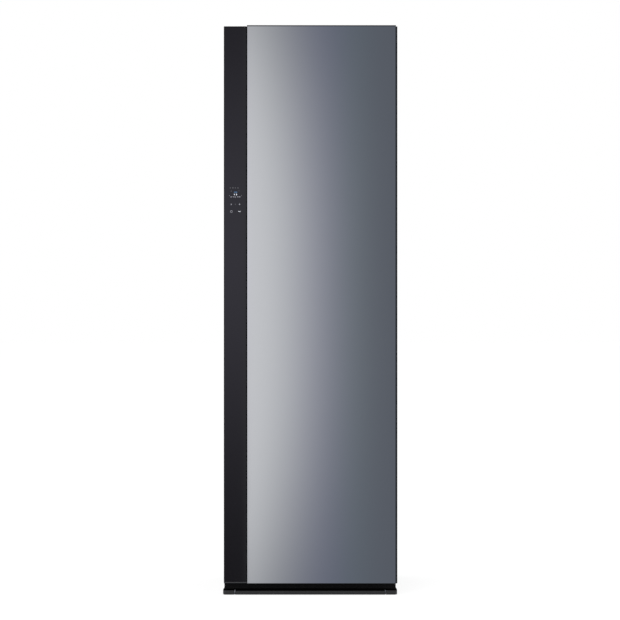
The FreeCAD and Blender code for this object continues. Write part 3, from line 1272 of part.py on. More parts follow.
def belt_outline(offset):
    """Closed wire around both pulleys at a distance from them."""
    big = CRANK_RADIUS + offset
    small = MOTOR_PULLEY_RADIUS + offset
    lean = math.acos((big - small) / PULLEY_DISTANCE)
    z = CRANK_UNDER + PULLEY_FLANGE + BELT_MARGIN
    up = V(math.cos(lean), math.sin(lean), 0)
    down = V(math.cos(lean), -math.sin(lean), 0)
    centre = V(0, TUB_MID_Y, z)
    far = V(MOTOR_X, TUB_MID_Y, z)
    edges = [Part.Arc(centre.add(up * big), centre.add(V(-big, 0, 0)), centre.add(down * big)).toShape(),
             Part.LineSegment(centre.add(down * big), far.add(down * small)).toShape(),
             Part.Arc(far.add(down * small), far.add(V(small, 0, 0)), far.add(up * small)).toShape(),
             Part.LineSegment(far.add(up * small), centre.add(up * big)).toShape()]
    return Part.Wire(edges)


def drive_belt():
    """Belt around the two pulleys, just clear of both."""
    height = PULLEY_THICKNESS - 2 * PULLEY_FLANGE - 2 * BELT_MARGIN
    outer = Part.Face(belt_outline(TOUCH_GAP + BELT_THICKNESS)).extrude(V(0, 0, height))
    inner = Part.Face(belt_outline(TOUCH_GAP)).extrude(V(0, 0, height))
    return outer.cut(inner)


def control_board():
    """Control board box over the tub."""
    left = -TUB_OUTER_X + BOARD_INSET
    base = box(left, left + BOARD_LENGTH, TUB_MID_Y - BOARD_WIDTH / 2, TUB_MID_Y + BOARD_WIDTH / 2,
               TUB_ROOF, TUB_ROOF + BOARD_HEIGHT)
    return rounded_edges(base, BOARD_CORNER, V(0, 0, 1), lambda point: True)


# ---------------------------------------------------------------- front module

BAY_FLOOR = MODULE_SILL + MODULE_WALL
BAY_ROOF = TUB_UNDER - BAY_HEADROOM
FILTER_BAY_FLOOR = BAY_ROOF - FILTER_BAY_HEIGHT
FILTER_BACK = MODULE_FACE + FILTER_BAY_DEPTH


def bays():
    """Inner space of each bay as x0, x1, z0, z1 and its back."""
    return [(BAY_INNER, BAY_OUTER, BAY_FLOOR, BAY_ROOF, BAY_BACK),
            (-BAY_OUTER, -BAY_INNER, BAY_FLOOR, BAY_ROOF, BAY_BACK),
            (-FILTER_HALF, FILTER_HALF, FILTER_BAY_FLOOR, BAY_ROOF, FILTER_BACK)]


def module_housing():
    """Moulded lower front with a recess and three bays behind its face."""
    wall = MODULE_WALL
    shell = box(-TUB_OUTER_X, TUB_OUTER_X, FRAME_BACK, MODULE_FACE + wall, MODULE_SILL - wall, TUB_UNDER)
    recess = box(-TUB_INNER_X, TUB_INNER_X, FRAME_BACK - 1, MODULE_FACE, MODULE_SILL, TUB_UNDER + 1)
    shapes = [shell.cut(recess)]
    spaces = []
    for x0, x1, z0, z1, back in bays():
        shapes.append(box(x0 - wall, x1 + wall, MODULE_FACE, back + wall, z0 - wall, z1 + wall))
        spaces.append(box(x0, x1, MODULE_FACE - 1, back, z0, z1))
    leg = box(-TUB_OUTER_X, TUB_OUTER_X, MODULE_FACE, MODULE_FACE + wall, PAN_FLOOR, MODULE_SILL)
    shapes.append(leg)
    return cut(joined(shapes), spaces)


def drawer_front(x0, x1, z0, z1):
    """Front panel with a finger recess."""
    front = MODULE_FACE - TOUCH_GAP - TANK_FRONT
    panel = plate_xz(x0, x1, z0, z1, front, MODULE_FACE - TOUCH_GAP, TANK_FRONT_CORNER)
    middle = (x0 + x1) / 2
    width = min(GRIP_RECESS_WIDTH, (x1 - x0) * 0.6)
    top = z1 - GRIP_RECESS_DROP
    recess = plate_xz(middle - width / 2, middle + width / 2, top - GRIP_RECESS_HEIGHT, top,
                      front - 1, front + GRIP_RECESS_DEPTH, GRIP_RECESS_CORNER)
    return panel.cut(recess)


def tank_right():
    """Tank with a front panel and a round mouth in its top."""
    x0 = BAY_INNER + SLIDE_GAP
    x1 = BAY_OUTER - SLIDE_GAP
    floor = BAY_FLOOR + TOUCH_GAP
    roof = BAY_ROOF - TANK_HEADROOM
    back = BAY_BACK - SLIDE_GAP
    start = MODULE_FACE - TOUCH_GAP
    body = box(x0, x1, start, back, floor, roof)
    inside = box(x0 + TANK_WALL, x1 - TANK_WALL, start + TANK_WALL, back - TANK_WALL,
                 floor + TANK_WALL, roof - TANK_WALL)
    lap = TANK_FRONT_LAP
    panel = drawer_front(BAY_INNER - lap, BAY_OUTER + lap, BAY_FLOOR - lap / 2, BAY_ROOF + lap)
    mouth = rod_z((x0 + x1) / 2, (start + back) / 2, roof - TANK_WALL - 1, roof + 1, CAP_MOUTH_RADIUS)
    return cut(joined([body.cut(inside), panel]), [mouth])


def tank_cap_right():
    """Quarter-turn cap in the tank's mouth."""
    x = (BAY_INNER + BAY_OUTER) / 2
    y = (MODULE_FACE - TOUCH_GAP + BAY_BACK - SLIDE_GAP) / 2
    roof = BAY_ROOF - TANK_HEADROOM
    top = roof + RUN_CLEARANCE + CAP_THICKNESS
    disc = rod_z(x, y, roof + RUN_CLEARANCE, top, CAP_RADIUS)
    plug = rod_z(x, y, roof - TANK_WALL, roof + CAP_THICKNESS / 2, CAP_MOUTH_RADIUS - RUN_CLEARANCE)
    rib = box(x - CAP_RADIUS * 0.7, x + CAP_RADIUS * 0.7, y - CAP_THICKNESS, y + CAP_THICKNESS,
              top - 1, top + CAP_RIB)
    return joined([disc, plug, rib])


def lint_filter():
    """Filter drawer: front panel, frame and ribs that carry the mesh."""
    x = FILTER_HALF - SLIDE_GAP
    floor = FILTER_BAY_FLOOR + TOUCH_GAP
    roof = BAY_ROOF - SLIDE_GAP
    start = MODULE_FACE - TOUCH_GAP
    back = FILTER_BACK - SLIDE_GAP
    frame = box(-x, x, start, back, floor, roof)
    wall = TANK_WALL
    window = box(-x + wall, x - wall, start + wall, back - wall, floor + wall, roof + 1)
    lap = TANK_FRONT_LAP
    panel = drawer_front(-FILTER_HALF - lap, FILTER_HALF + lap, FILTER_BAY_FLOOR - lap, BAY_ROOF + lap)
    shapes = [frame.cut(window), panel]
    pitch = (back - start) / (FILTER_RIBS + 1)
    for index in range(FILTER_RIBS):
        y = start + (index + 1) * pitch
        half = FILTER_RIB_THICKNESS / 2
        shapes.append(box(-x + 1, x - 1, y - half, y + half, floor + 1, roof - (roof - floor) / 3))
    return joined(shapes)


# ---------------------------------------------------------------- machine room

COMPRESSOR_X = PANEL_INNER - COMPRESSOR_RADIUS - COMPRESSOR_SIDE_GAP
COMPRESSOR_Y = REAR_INNER - COMPRESSOR_RADIUS - COMPRESSOR_REAR_GAP
COIL_LEFT = -PANEL_INNER + COIL_SIDE_GAP
COIL_BACK = REAR_INNER - COIL_REAR_GAP
FAN_X = 0.0
FAN_FRONT = OUTLET_FRONT
PUMP_Y = BAY_BACK + MODULE_WALL + PUMP_RADIUS + PUMP_GAP
GENERATOR_X = BAY_OUTER - GENERATOR_LENGTH - GENERATOR_SIDE_GAP
GENERATOR_Y = BAY_BACK + MODULE_WALL + GENERATOR_GAP


def compressor():
    """Compressor can with its foot plate, side accumulator and stub pipe."""
    base = PAN_FLOOR + GROMMET_HEIGHT
    x, y = COMPRESSOR_X, COMPRESSOR_Y
    can = rod_z(x, y, base, base + COMPRESSOR_HEIGHT, COMPRESSOR_RADIUS)
    can = can.makeFillet(COMPRESSOR_SHOULDER, [edge for edge in can.Edges
                                               if edge.CenterOfMass.z > base + 1
                                               and isinstance(edge.Curve, Part.Circle)])
    reach = COMPRESSOR_PLATE_REACH
    plate = box(x - reach, x + reach, y - reach, y + reach, base, base + COMPRESSOR_PLATE)
    middle = base + COMPRESSOR_HEIGHT / 2
    side = rod_z(x - ACCUMULATOR_OFFSET, y, middle - ACCUMULATOR_HEIGHT / 2,
                 middle + ACCUMULATOR_HEIGHT / 2, ACCUMULATOR_RADIUS)
    link = rod_x(y, middle, x - ACCUMULATOR_OFFSET, x, PIPE_RADIUS)
    return joined([can, plate, side, link])


def compressor_mounts():
    """Rubber grommets between the foot plate and the base pan."""
    reach = COMPRESSOR_PLATE_REACH - GROMMET_RADIUS
    mounts = []
    for dx in (-reach, reach):
        for dy in (-reach, reach):
            mounts.append(rod_z(COMPRESSOR_X + dx, COMPRESSOR_Y + dy, PAN_FLOOR,
                                PAN_FLOOR + GROMMET_HEIGHT, GROMMET_RADIUS))
    return mounts


def coil(back):
    """Finned coil: end sheets down to the pan, fins and level tubes."""
    front = back - COIL_DEPTH
    top = PAN_FLOOR + COIL_LIFT + COIL_HEIGHT
    bottom = PAN_FLOOR + COIL_LIFT
    shapes = []
    for x in (COIL_LEFT, COIL_LEFT + COIL_LENGTH - COIL_SHEET):
        shapes.append(box(x, x + COIL_SHEET, front, back, PAN_FLOOR, top))
    pitch = (COIL_LENGTH - 2 * COIL_SHEET) / (FIN_COUNT + 1)
    for index in range(FIN_COUNT):
        x = COIL_LEFT + COIL_SHEET + (index + 1) * pitch
        shapes.append(box(x - FIN_THICKNESS / 2, x + FIN_THICKNESS / 2, front + COIL_SHEET,
                          back - COIL_SHEET, bottom, top))
    for row in range(COIL_ROWS):
        z = bottom + (row + 0.5) * COIL_HEIGHT / COIL_ROWS
        shapes.append(rod_x((front + back) / 2, z, COIL_LEFT - COIL_TUBE_END,
                            COIL_LEFT + COIL_LENGTH + COIL_TUBE_END,
                            COIL_TUBE_RADIUS))
    return joined(shapes)


def heat_exchangers():
    """Evaporator in front, condenser behind it."""
    return coil(COIL_BACK), coil(COIL_BACK - COIL_DEPTH - COIL_GAP)


def blower_housing():
    """Scroll case of the blower with the chimney up to the tub's floor."""
    back = FAN_FRONT + BLOWER_DEPTH
    wall = BLOWER_WALL
    drum = rod_y(FAN_X, BLOWER_CENTRE_Z, FAN_FRONT, back, BLOWER_RADIUS + wall)
    chimney = box(FAN_X - BLOWER_RADIUS - wall, FAN_X + BLOWER_RADIUS + wall, FAN_FRONT, back,
                  BLOWER_CENTRE_Z, TUB_UNDER)
    half = BLOWER_LEG_WIDTH / 2
    leg = box(FAN_X - half, FAN_X + half, FAN_FRONT, back, PAN_FLOOR, BLOWER_CENTRE_Z - BLOWER_RADIUS)
    drum_space = rod_y(FAN_X, BLOWER_CENTRE_Z, FAN_FRONT + wall, back - wall, BLOWER_RADIUS)
    chimney_space = box(FAN_X - BLOWER_RADIUS, FAN_X + BLOWER_RADIUS, FAN_FRONT + wall, back - wall,
                        BLOWER_CENTRE_Z, TUB_UNDER + 1)
    eye = rod_y(FAN_X, BLOWER_CENTRE_Z, FAN_FRONT - 1, FAN_FRONT + wall + 1, WHEEL_RADIUS * 0.7)
    shaft_hole = rod_y(FAN_X, BLOWER_CENTRE_Z, back - wall - 1, back + 1, FAN_SHAFT_RADIUS + 1)
    leg_space = box(FAN_X - half + wall, FAN_X + half - wall, FAN_FRONT + wall, back - wall,
                    PAN_FLOOR - 1, BLOWER_CENTRE_Z - BLOWER_RADIUS - 2 * wall)
    return cut(joined([drum, chimney, leg]), [drum_space, chimney_space, eye, shaft_hole, leg_space])


def blower_wheel():
    """Squirrel-cage wheel: back disc, blades, front ring, hub and shaft."""
    front = FAN_FRONT + (BLOWER_DEPTH - WHEEL_DEPTH) / 2
    back = front + WHEEL_DEPTH
    disc = rod_y(FAN_X, BLOWER_CENTRE_Z, back - WHEEL_SHEET, back, WHEEL_RADIUS)
    ring = rod_y(FAN_X, BLOWER_CENTRE_Z, front, front + WHEEL_SHEET, WHEEL_RADIUS)
    ring = ring.cut(rod_y(FAN_X, BLOWER_CENTRE_Z, front - 1, front + WHEEL_SHEET + 1,
                          WHEEL_RADIUS - WHEEL_RING))
    hub = rod_y(FAN_X, BLOWER_CENTRE_Z, back - HUB_LENGTH, back, FAN_SHAFT_RADIUS * 2.5)
    shaft = rod_y(FAN_X, BLOWER_CENTRE_Z, back - 1, FAN_FRONT + BLOWER_DEPTH + FAN_SHAFT_RADIUS * 3,
                  FAN_SHAFT_RADIUS)
    shapes = [disc, ring, hub, shaft]
    tip = FAN_X + WHEEL_RADIUS - BLADE_RIM
    blade = box(tip - BLADE_DEPTH, tip, front + WHEEL_SHEET, back - WHEEL_SHEET,
                BLOWER_CENTRE_Z - BLADE_THICKNESS / 2, BLOWER_CENTRE_Z + BLADE_THICKNESS / 2)
    axis_point = V(FAN_X, 0, BLOWER_CENTRE_Z)
    for index in range(BLADE_COUNT):
        copy = blade.copy()
        copy.rotate(axis_point, V(0, 1, 0), index * 360.0 / BLADE_COUNT)
        shapes.append(copy)
    return joined(shapes)


def blower_motor():
    """Motor on the back of the scroll case, bored for the wheel's shaft."""
    start = FAN_FRONT + BLOWER_DEPTH
    body = rod_y(FAN_X, BLOWER_CENTRE_Z, start, start + FAN_MOTOR_LENGTH, FAN_MOTOR_RADIUS)
    bore = rod_y(FAN_X, BLOWER_CENTRE_Z, start - 1, start + FAN_SHAFT_RADIUS * 4,
                 FAN_SHAFT_RADIUS + RUN_CLEARANCE)
    return body.cut(bore)


def steam_generator():
    """Steam boiler with its outlet stub, on two legs."""
    x, y = GENERATOR_X, GENERATOR_Y
    base = PAN_FLOOR + GENERATOR_LEG
    body = box(x, x + GENERATOR_LENGTH, y, y + GENERATOR_DEPTH, base, base + GENERATOR_HEIGHT)
    body = rounded_edges(body, GENERATOR_CORNER, V(0, 0, 1), lambda point: True)
    shapes = [body]
    leg = GENERATOR_LEG_WIDTH
    for left in (x + leg, x + GENERATOR_LENGTH - 2 * leg):
        shapes.append(box(left, left + leg, y + leg, y + GENERATOR_DEPTH - leg, PAN_FLOOR, base + 1))
    stub = rod_z(x + 2 * leg, y + GENERATOR_DEPTH / 2, base + GENERATOR_HEIGHT - 1,
                 base + GENERATOR_HEIGHT + STUB_LENGTH, HOSE_RADIUS)
    return joined(shapes + [stub])


def pump_places():
    """The X places of the water pump and the drain pump."""
    first = -BAY_OUTER + PUMP_SIDE_GAP + PUMP_RADIUS
    return [first, first + 3 * PUMP_RADIUS + PUMP_SIDE_GAP]


def pumps():
    """Water pump and drain pump on the base pan."""
    solids = []
    for x in pump_places():
        can = rod_z(x, PUMP_Y, PAN_FLOOR, PAN_FLOOR + PUMP_HEIGHT, PUMP_RADIUS)
        foot = box(x - PUMP_RADIUS - PUMP_FOOT, x + PUMP_RADIUS + PUMP_FOOT, PUMP_Y - PUMP_RADIUS / 3,
                   PUMP_Y + PUMP_RADIUS / 3, PAN_FLOOR, PAN_FLOOR + PUMP_FOOT)
        spout = rod_z(x, PUMP_Y, PAN_FLOOR + PUMP_HEIGHT - 1, PAN_FLOOR + PUMP_HEIGHT + PUMP_SPOUT,
                      HOSE_RADIUS)
        solids.append(joined([can, foot, spout]))
    return solids


def water_hoses():
    """Hose from the water pump to the boiler's side and hose from the drain pump to its bay."""
    first, second = pump_places()
    start = PAN_FLOOR + PUMP_HEIGHT + PUMP_SPOUT
    level = start + HOSE_RISE
    bay_wall = BAY_BACK + MODULE_WALL
    boiler_y = GENERATOR_Y + GENERATOR_DEPTH / 2
    boiler_z = PAN_FLOOR + GENERATOR_LEG + GENERATOR_HEIGHT / 2
    feed = pipe([V(second, PUMP_Y, start),
                 V(second, PUMP_Y, level),
                 V(second + HOSE_LEVEL_RUN, PUMP_Y, level),
                 V(GENERATOR_X - HOSE_END_RUN, boiler_y, boiler_z),
                 V(GENERATOR_X, boiler_y, boiler_z)], HOSE_RADIUS)
    drain = pipe([V(first, PUMP_Y, start),
                  V(first, PUMP_Y, level),
                  V(first, bay_wall, level)], HOSE_RADIUS)
    return feed, drain


def refrigerant_pipes():
    """Pipe from the compressor's top to the condenser."""
    top = PAN_FLOOR + GROMMET_HEIGHT + COMPRESSOR_HEIGHT
    coil_right = COIL_LEFT + COIL_LENGTH + COIL_TUBE_END
    z = PAN_FLOOR + COIL_LIFT + COIL_HEIGHT * (COIL_ROWS - 0.5) / COIL_ROWS
    y = COIL_BACK - COIL_DEPTH / 2
    return pipe([V(COMPRESSOR_X, COMPRESSOR_Y, top),
                 V(COMPRESSOR_X, COMPRESSOR_Y, top + PIPE_RISE),
                 V(COMPRESSOR_X - PIPE_RISE, y, top + PIPE_RISE),
                 V(coil_right + PIPE_TURN_RUN, y, top + PIPE_RISE),
                 V(coil_right + PIPE_END_RUN, y, z),
                 V(coil_right, y, z)], PIPE_RADIUS)


# ---------------------------------------------------------------- writing the parts

def main():
    """Build every node and write it."""
    os.makedirs("parts", exist_ok=True)

    save("mirror_glass", mirror_glass())
    save("mirror_top_trim", mirror_top_trim())
    save("control_glass", control_glass())
    save("display_board", display_board())
    save("door_casing", door_casing())
    save("door_grip", door_grip())
    save("door_hinge_bushes", *door_hinge_bushes())
    save("door_insulation", door_insulation())
    save("door_liner", door_liner())
    save("door_gasket", door_gasket())

    save("press_pad", press_pad())
    save("press_plate", press_plate())
    save("press_brackets", *press_brackets())
    save("press_latch", press_latch())
    save("trouser_holder", trouser_holder())

    save("side_panels", side_panel_left(), mirrored(side_panel_left()))
    save("top_cover", top_cover())
    save("rear_cover", rear_cover())
    save("panel_screws", *panel_screws())
    save("rear_spacers", *rear_spacers())
    save("power_inlet", power_inlet())
    save("base_frame", base_frame())
    left_place, right_place = foot_places()
    save("front_foot_left", front_foot(*left_place))
    save("front_foot_right", front_foot(*right_place))
    save("rear_feet", *rear_feet())
    save("front_base_cover", front_base_cover())
    save("base_caps", base_cap_right(), mirrored(base_cap_right()))
    save("front_frame", front_frame())
    save("hinge_brackets", hinge_bracket_upper(), hinge_bracket_lower())
    save("hinge_cover", hinge_cover())

    save("tub", tub())
    save("air_outlet_grille", *air_outlet_grille())
    save("interior_lamp", interior_lamp())
    save("cabinet_insulation", *cabinet_insulation())
    save("shelf", shelf())

    save("hanger_guides", *hanger_guides())
    save("bar_carrier", bar_carrier())
    save("hanger_bar", hanger_bar())
    save("drive_frame", drive_frame())
    save("crank_wheel", crank_wheel())
    save("motor_pulley", motor_pulley())
    save("drive_motor", drive_motor())
    save("drive_belt", drive_belt())
    save("control_board", control_board())

    save("module_housing", module_housing())
    save("water_tank", tank_right())
    save("water_tank_cap", tank_cap_right())
    save("drain_tank", mirrored(tank_right()))
    save("drain_tank_cap", mirrored(tank_cap_right()))
    save("lint_filter", lint_filter())

    save("compressor", compressor())
    save("compressor_mounts", *compressor_mounts())
    save("heat_exchangers", *heat_exchangers())
    save("blower_housing", blower_housing())
    save("blower_wheel", blower_wheel())
    save("blower_motor", blower_motor())
    save("steam_generator", steam_generator())
    save("pumps", *pumps())
    save("water_hoses", *water_hoses())
    save("refrigerant_pipes", refrigerant_pipes())


main()
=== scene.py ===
import json
import logging
import math
from dataclasses import dataclass
from enum import Enum
from functools import lru_cache
from typing import Callable, Iterable, Sequence

import bmesh
import bpy
from mathutils import Matrix, Vector

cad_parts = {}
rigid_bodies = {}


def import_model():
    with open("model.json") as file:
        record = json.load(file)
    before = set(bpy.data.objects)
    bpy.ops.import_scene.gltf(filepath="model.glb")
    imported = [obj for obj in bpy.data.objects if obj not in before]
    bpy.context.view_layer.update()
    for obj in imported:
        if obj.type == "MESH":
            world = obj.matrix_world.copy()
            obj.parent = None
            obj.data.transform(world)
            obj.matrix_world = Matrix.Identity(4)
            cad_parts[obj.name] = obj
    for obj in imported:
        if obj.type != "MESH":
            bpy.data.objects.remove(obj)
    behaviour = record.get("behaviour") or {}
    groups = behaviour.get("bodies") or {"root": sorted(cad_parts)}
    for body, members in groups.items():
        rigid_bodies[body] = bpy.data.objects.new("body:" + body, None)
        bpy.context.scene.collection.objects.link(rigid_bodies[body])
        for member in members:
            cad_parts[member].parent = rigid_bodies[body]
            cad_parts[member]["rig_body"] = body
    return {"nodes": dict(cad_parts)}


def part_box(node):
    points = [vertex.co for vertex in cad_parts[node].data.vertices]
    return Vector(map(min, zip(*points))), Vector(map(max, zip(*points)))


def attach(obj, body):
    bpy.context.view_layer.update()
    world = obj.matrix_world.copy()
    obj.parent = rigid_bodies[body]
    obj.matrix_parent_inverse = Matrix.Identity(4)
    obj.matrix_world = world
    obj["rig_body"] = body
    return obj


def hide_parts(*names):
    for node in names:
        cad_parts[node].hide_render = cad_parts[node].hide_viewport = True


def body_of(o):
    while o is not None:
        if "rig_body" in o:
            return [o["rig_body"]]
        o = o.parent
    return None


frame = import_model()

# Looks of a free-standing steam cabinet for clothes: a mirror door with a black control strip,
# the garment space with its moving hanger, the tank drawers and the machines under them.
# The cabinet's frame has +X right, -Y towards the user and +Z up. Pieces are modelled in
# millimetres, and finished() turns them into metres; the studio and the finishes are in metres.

LOG = logging.getLogger("steam_cabinet")
MM = 0.001
Point = tuple[float, float, float]
Colour = tuple[float, float, float]
Socket = bpy.types.NodeSocket
Value = float | bpy.types.NodeSocket


# ------------------------------------------------------------------------------ choices

class Body(Enum):
    """The rigid bodies that pieces ride on."""

    CABINET = "cabinet"
    DOOR = "door"
    TROUSER_PRESS = "trouser_press"
    PRESS_LATCH = "press_latch"
    MOVING_HANGER = "moving_hanger"
    CRANK_WHEEL = "crank_wheel"
    MOTOR_PULLEY = "motor_pulley"
    BLOWER_WHEEL = "blower_wheel"
    WATER_TANK = "water_tank"
    WATER_TANK_CAP = "water_tank_cap"
    DRAIN_TANK = "drain_tank"
    DRAIN_TANK_CAP = "drain_tank_cap"
    LINT_FILTER = "lint_filter"
    SHELF = "shelf"
    FRONT_FOOT_LEFT = "front_foot_left"
    FRONT_FOOT_RIGHT = "front_foot_right"


class Grain(Enum):
    """What the surface of a finish looks like close to."""

    POLISHED = "polished"
    STIPPLE = "stipple"
    COATED = "coated"
    BRUSHED = "brushed"
    CAST = "cast"
    WEAVE = "weave"
    FOAM = "foam"


class Axis(Enum):
    """An axis of the cabinet's frame as a unit vector."""

    X = (1.0, 0.0, 0.0)
    Y = (0.0, 1.0, 0.0)
    Z = (0.0, 0.0, 1.0)


# ------------------------------------------------------------------------------ finishes

# Broad clouds in every finish: how many in a metre, and their octaves.
CLOUD_SCALE = 9.0
CLOUD_DETAIL = 3.0
# Octaves of the grains that are plain noise.
PLAIN_DETAIL = {Grain.POLISHED: 2.0, Grain.STIPPLE: 4.0, Grain.CAST: 8.0}
# A coat's fine grain and its coarse waves, whose scale is a share of the grain's.
COAT_DETAIL = 2.0
WAVE_DETAIL = 1.0
WAVE_SCALE = 0.2
# Brushed lines: their scale along the brushing, and their octaves.
BRUSH_STRETCH = 0.015
BRUSH_DETAIL = 3.0
# A cloth's fuzz: its scale against the threads', its octaves and its share of the height.
FUZZ_SCALE = 2.5
FUZZ_DETAIL = 2.0
FUZZ_SHARE = 0.2


@dataclass(frozen=True)
class Finish:
    """One surface finish, built as a node material.

    Args:
        name: Name of the material.
        colour: Linear base colour.
        roughness: Mean roughness.
        metallic: 1 for bare metal, 0 for everything else.
        grain: Pattern of the surface.
        scale: How many pattern features fit in a metre.
        depth: Height of the pattern's bumps, in metres.
        variation: How far the colour strays from its mean, 0 to 1.
        sheen: Weight of the cloth sheen.
        clear: Share of light that passes through.
        glow: Strength of the light that it gives off.
        along: Direction of brushing.
        index: Index of refraction.
        mottle: How far the roughness strays from its mean.
        gloss: Level of the plain reflection; 0.5 is that of the index.
        slot: The record's material slot that a new piece of this finish belongs to; not used.
    """

    name: str
    colour: Colour
    roughness: float = 0.5
    metallic: float = 0.0
    grain: Grain = Grain.STIPPLE
    scale: float = 900.0
    depth: float = 0.00008
    variation: float = 0.08
    sheen: float = 0.0
    clear: float = 0.0
    glow: float = 0.0
    along: Axis = Axis.X
    index: float = 1.5
    mottle: float = 0.08
    gloss: float = 0.5
    slot: str = "black_plastic"

    def material(self) -> bpy.types.Material:
        """Build the material once and hand out the same one afterwards.

        Returns:
            The finished material.
        """
        found = bpy.data.materials.get(self.name)
        if found is not None:
            return found
        made, wiring = blank_material(self.name)
        self._wire(wiring)
        return made

    def _wire(self, nodes: "Wiring") -> None:
        """Lay the nodes: colour, roughness and bump from one pattern.

        Args:
            nodes: Wiring of the material.
        """
        shader = nodes.node("ShaderNodeBsdfPrincipled")
        shader.inputs["Metallic"].default_value = self.metallic
        shader.inputs["IOR"].default_value = self.index
        shader.inputs["Specular IOR Level"].default_value = self.gloss
        shader.inputs["Sheen Weight"].default_value = self.sheen
        shader.inputs["Transmission Weight"].default_value = self.clear
        place = nodes.place()
        height = self._pattern(nodes, place)
        cloud = nodes.noise(place, CLOUD_SCALE, CLOUD_DETAIL)
        nodes.link(self._tint(nodes, height, cloud), shader.inputs["Base Color"])
        nodes.link(nodes.spread(cloud, self.roughness, self.mottle), shader.inputs["Roughness"])
        if self.depth > 0.0:
            bump = nodes.node("ShaderNodeBump")
            bump.inputs["Distance"].default_value = self.depth
            bump.inputs["Strength"].default_value = 1.0
            nodes.link(height, bump.inputs["Height"])
            nodes.link(bump.outputs["Normal"], shader.inputs["Normal"])
        if self.glow > 0.0:
            shader.inputs["Emission Color"].default_value = (*self.colour, 1.0)
            shader.inputs["Emission Strength"].default_value = self.glow
        nodes.show(shader.outputs["BSDF"])

    def _tint(self, nodes: "Wiring", height: Socket, cloud: Socket) -> Socket:
        """Vary the base colour with the pattern and with broad clouds.

        Args:
            nodes: Wiring of the material.
            height: The pattern.
            cloud: The clouds.

        Returns:
            The colour socket.
        """
        low = tuple(part * (1.0 - self.variation) for part in self.colour)
        high = tuple(min(1.0, part * (1.0 + self.variation)) for part in self.colour)
        return nodes.between(nodes.mean(height, cloud), low, high)

    def _pattern(self, nodes: "Wiring", place: Socket) -> Socket:
        """The height field of the grain.

        Args:
            nodes: Wiring of the material.
            place: Coordinates.

        Returns:
            A value socket from 0 to 1.
        """
        if self.grain in PLAIN_DETAIL:
            return nodes.noise(place, self.scale, PLAIN_DETAIL[self.grain])
        if self.grain is Grain.COATED:
            fine = nodes.noise(place, self.scale, COAT_DETAIL)
            return nodes.mean(fine, nodes.noise(place, self.scale * WAVE_SCALE, WAVE_DETAIL))
        if self.grain is Grain.BRUSHED:
            stretch = tuple(BRUSH_STRETCH if part else 1.0 for part in self.along.value)
            return nodes.noise(nodes.stretched(place, stretch), self.scale, BRUSH_DETAIL)
        if self.grain is Grain.WEAVE:
            return self._weave(nodes, place)
        cells = nodes.node("ShaderNodeTexVoronoi")
        cells.inputs["Scale"].default_value = self.scale
        nodes.link(place, cells.inputs["Vector"])
        return nodes.maths("SUBTRACT", 1.0, cells.outputs["Distance"])

    def _weave(self, nodes: "Wiring", place: Socket) -> Socket:
        """Plain weave: threads along X and Z that pass over each other in turn.

        Args:
            nodes: Wiring of the material.
            place: Coordinates.

        Returns:
            The thread height.
        """
        parts = nodes.axes(place)
        turn = self.scale * math.pi
        across = nodes.maths("SINE", nodes.times(parts["X"], turn))
        upward = nodes.maths("SINE", nodes.times(parts["Z"], turn))
        lifted = nodes.mean(nodes.times(across, upward), 1.0)
        fuzz = nodes.noise(place, self.scale * FUZZ_SCALE, FUZZ_DETAIL)
        return nodes.plus(nodes.times(lifted, 1.0 - FUZZ_SHARE), nodes.times(fuzz, FUZZ_SHARE))


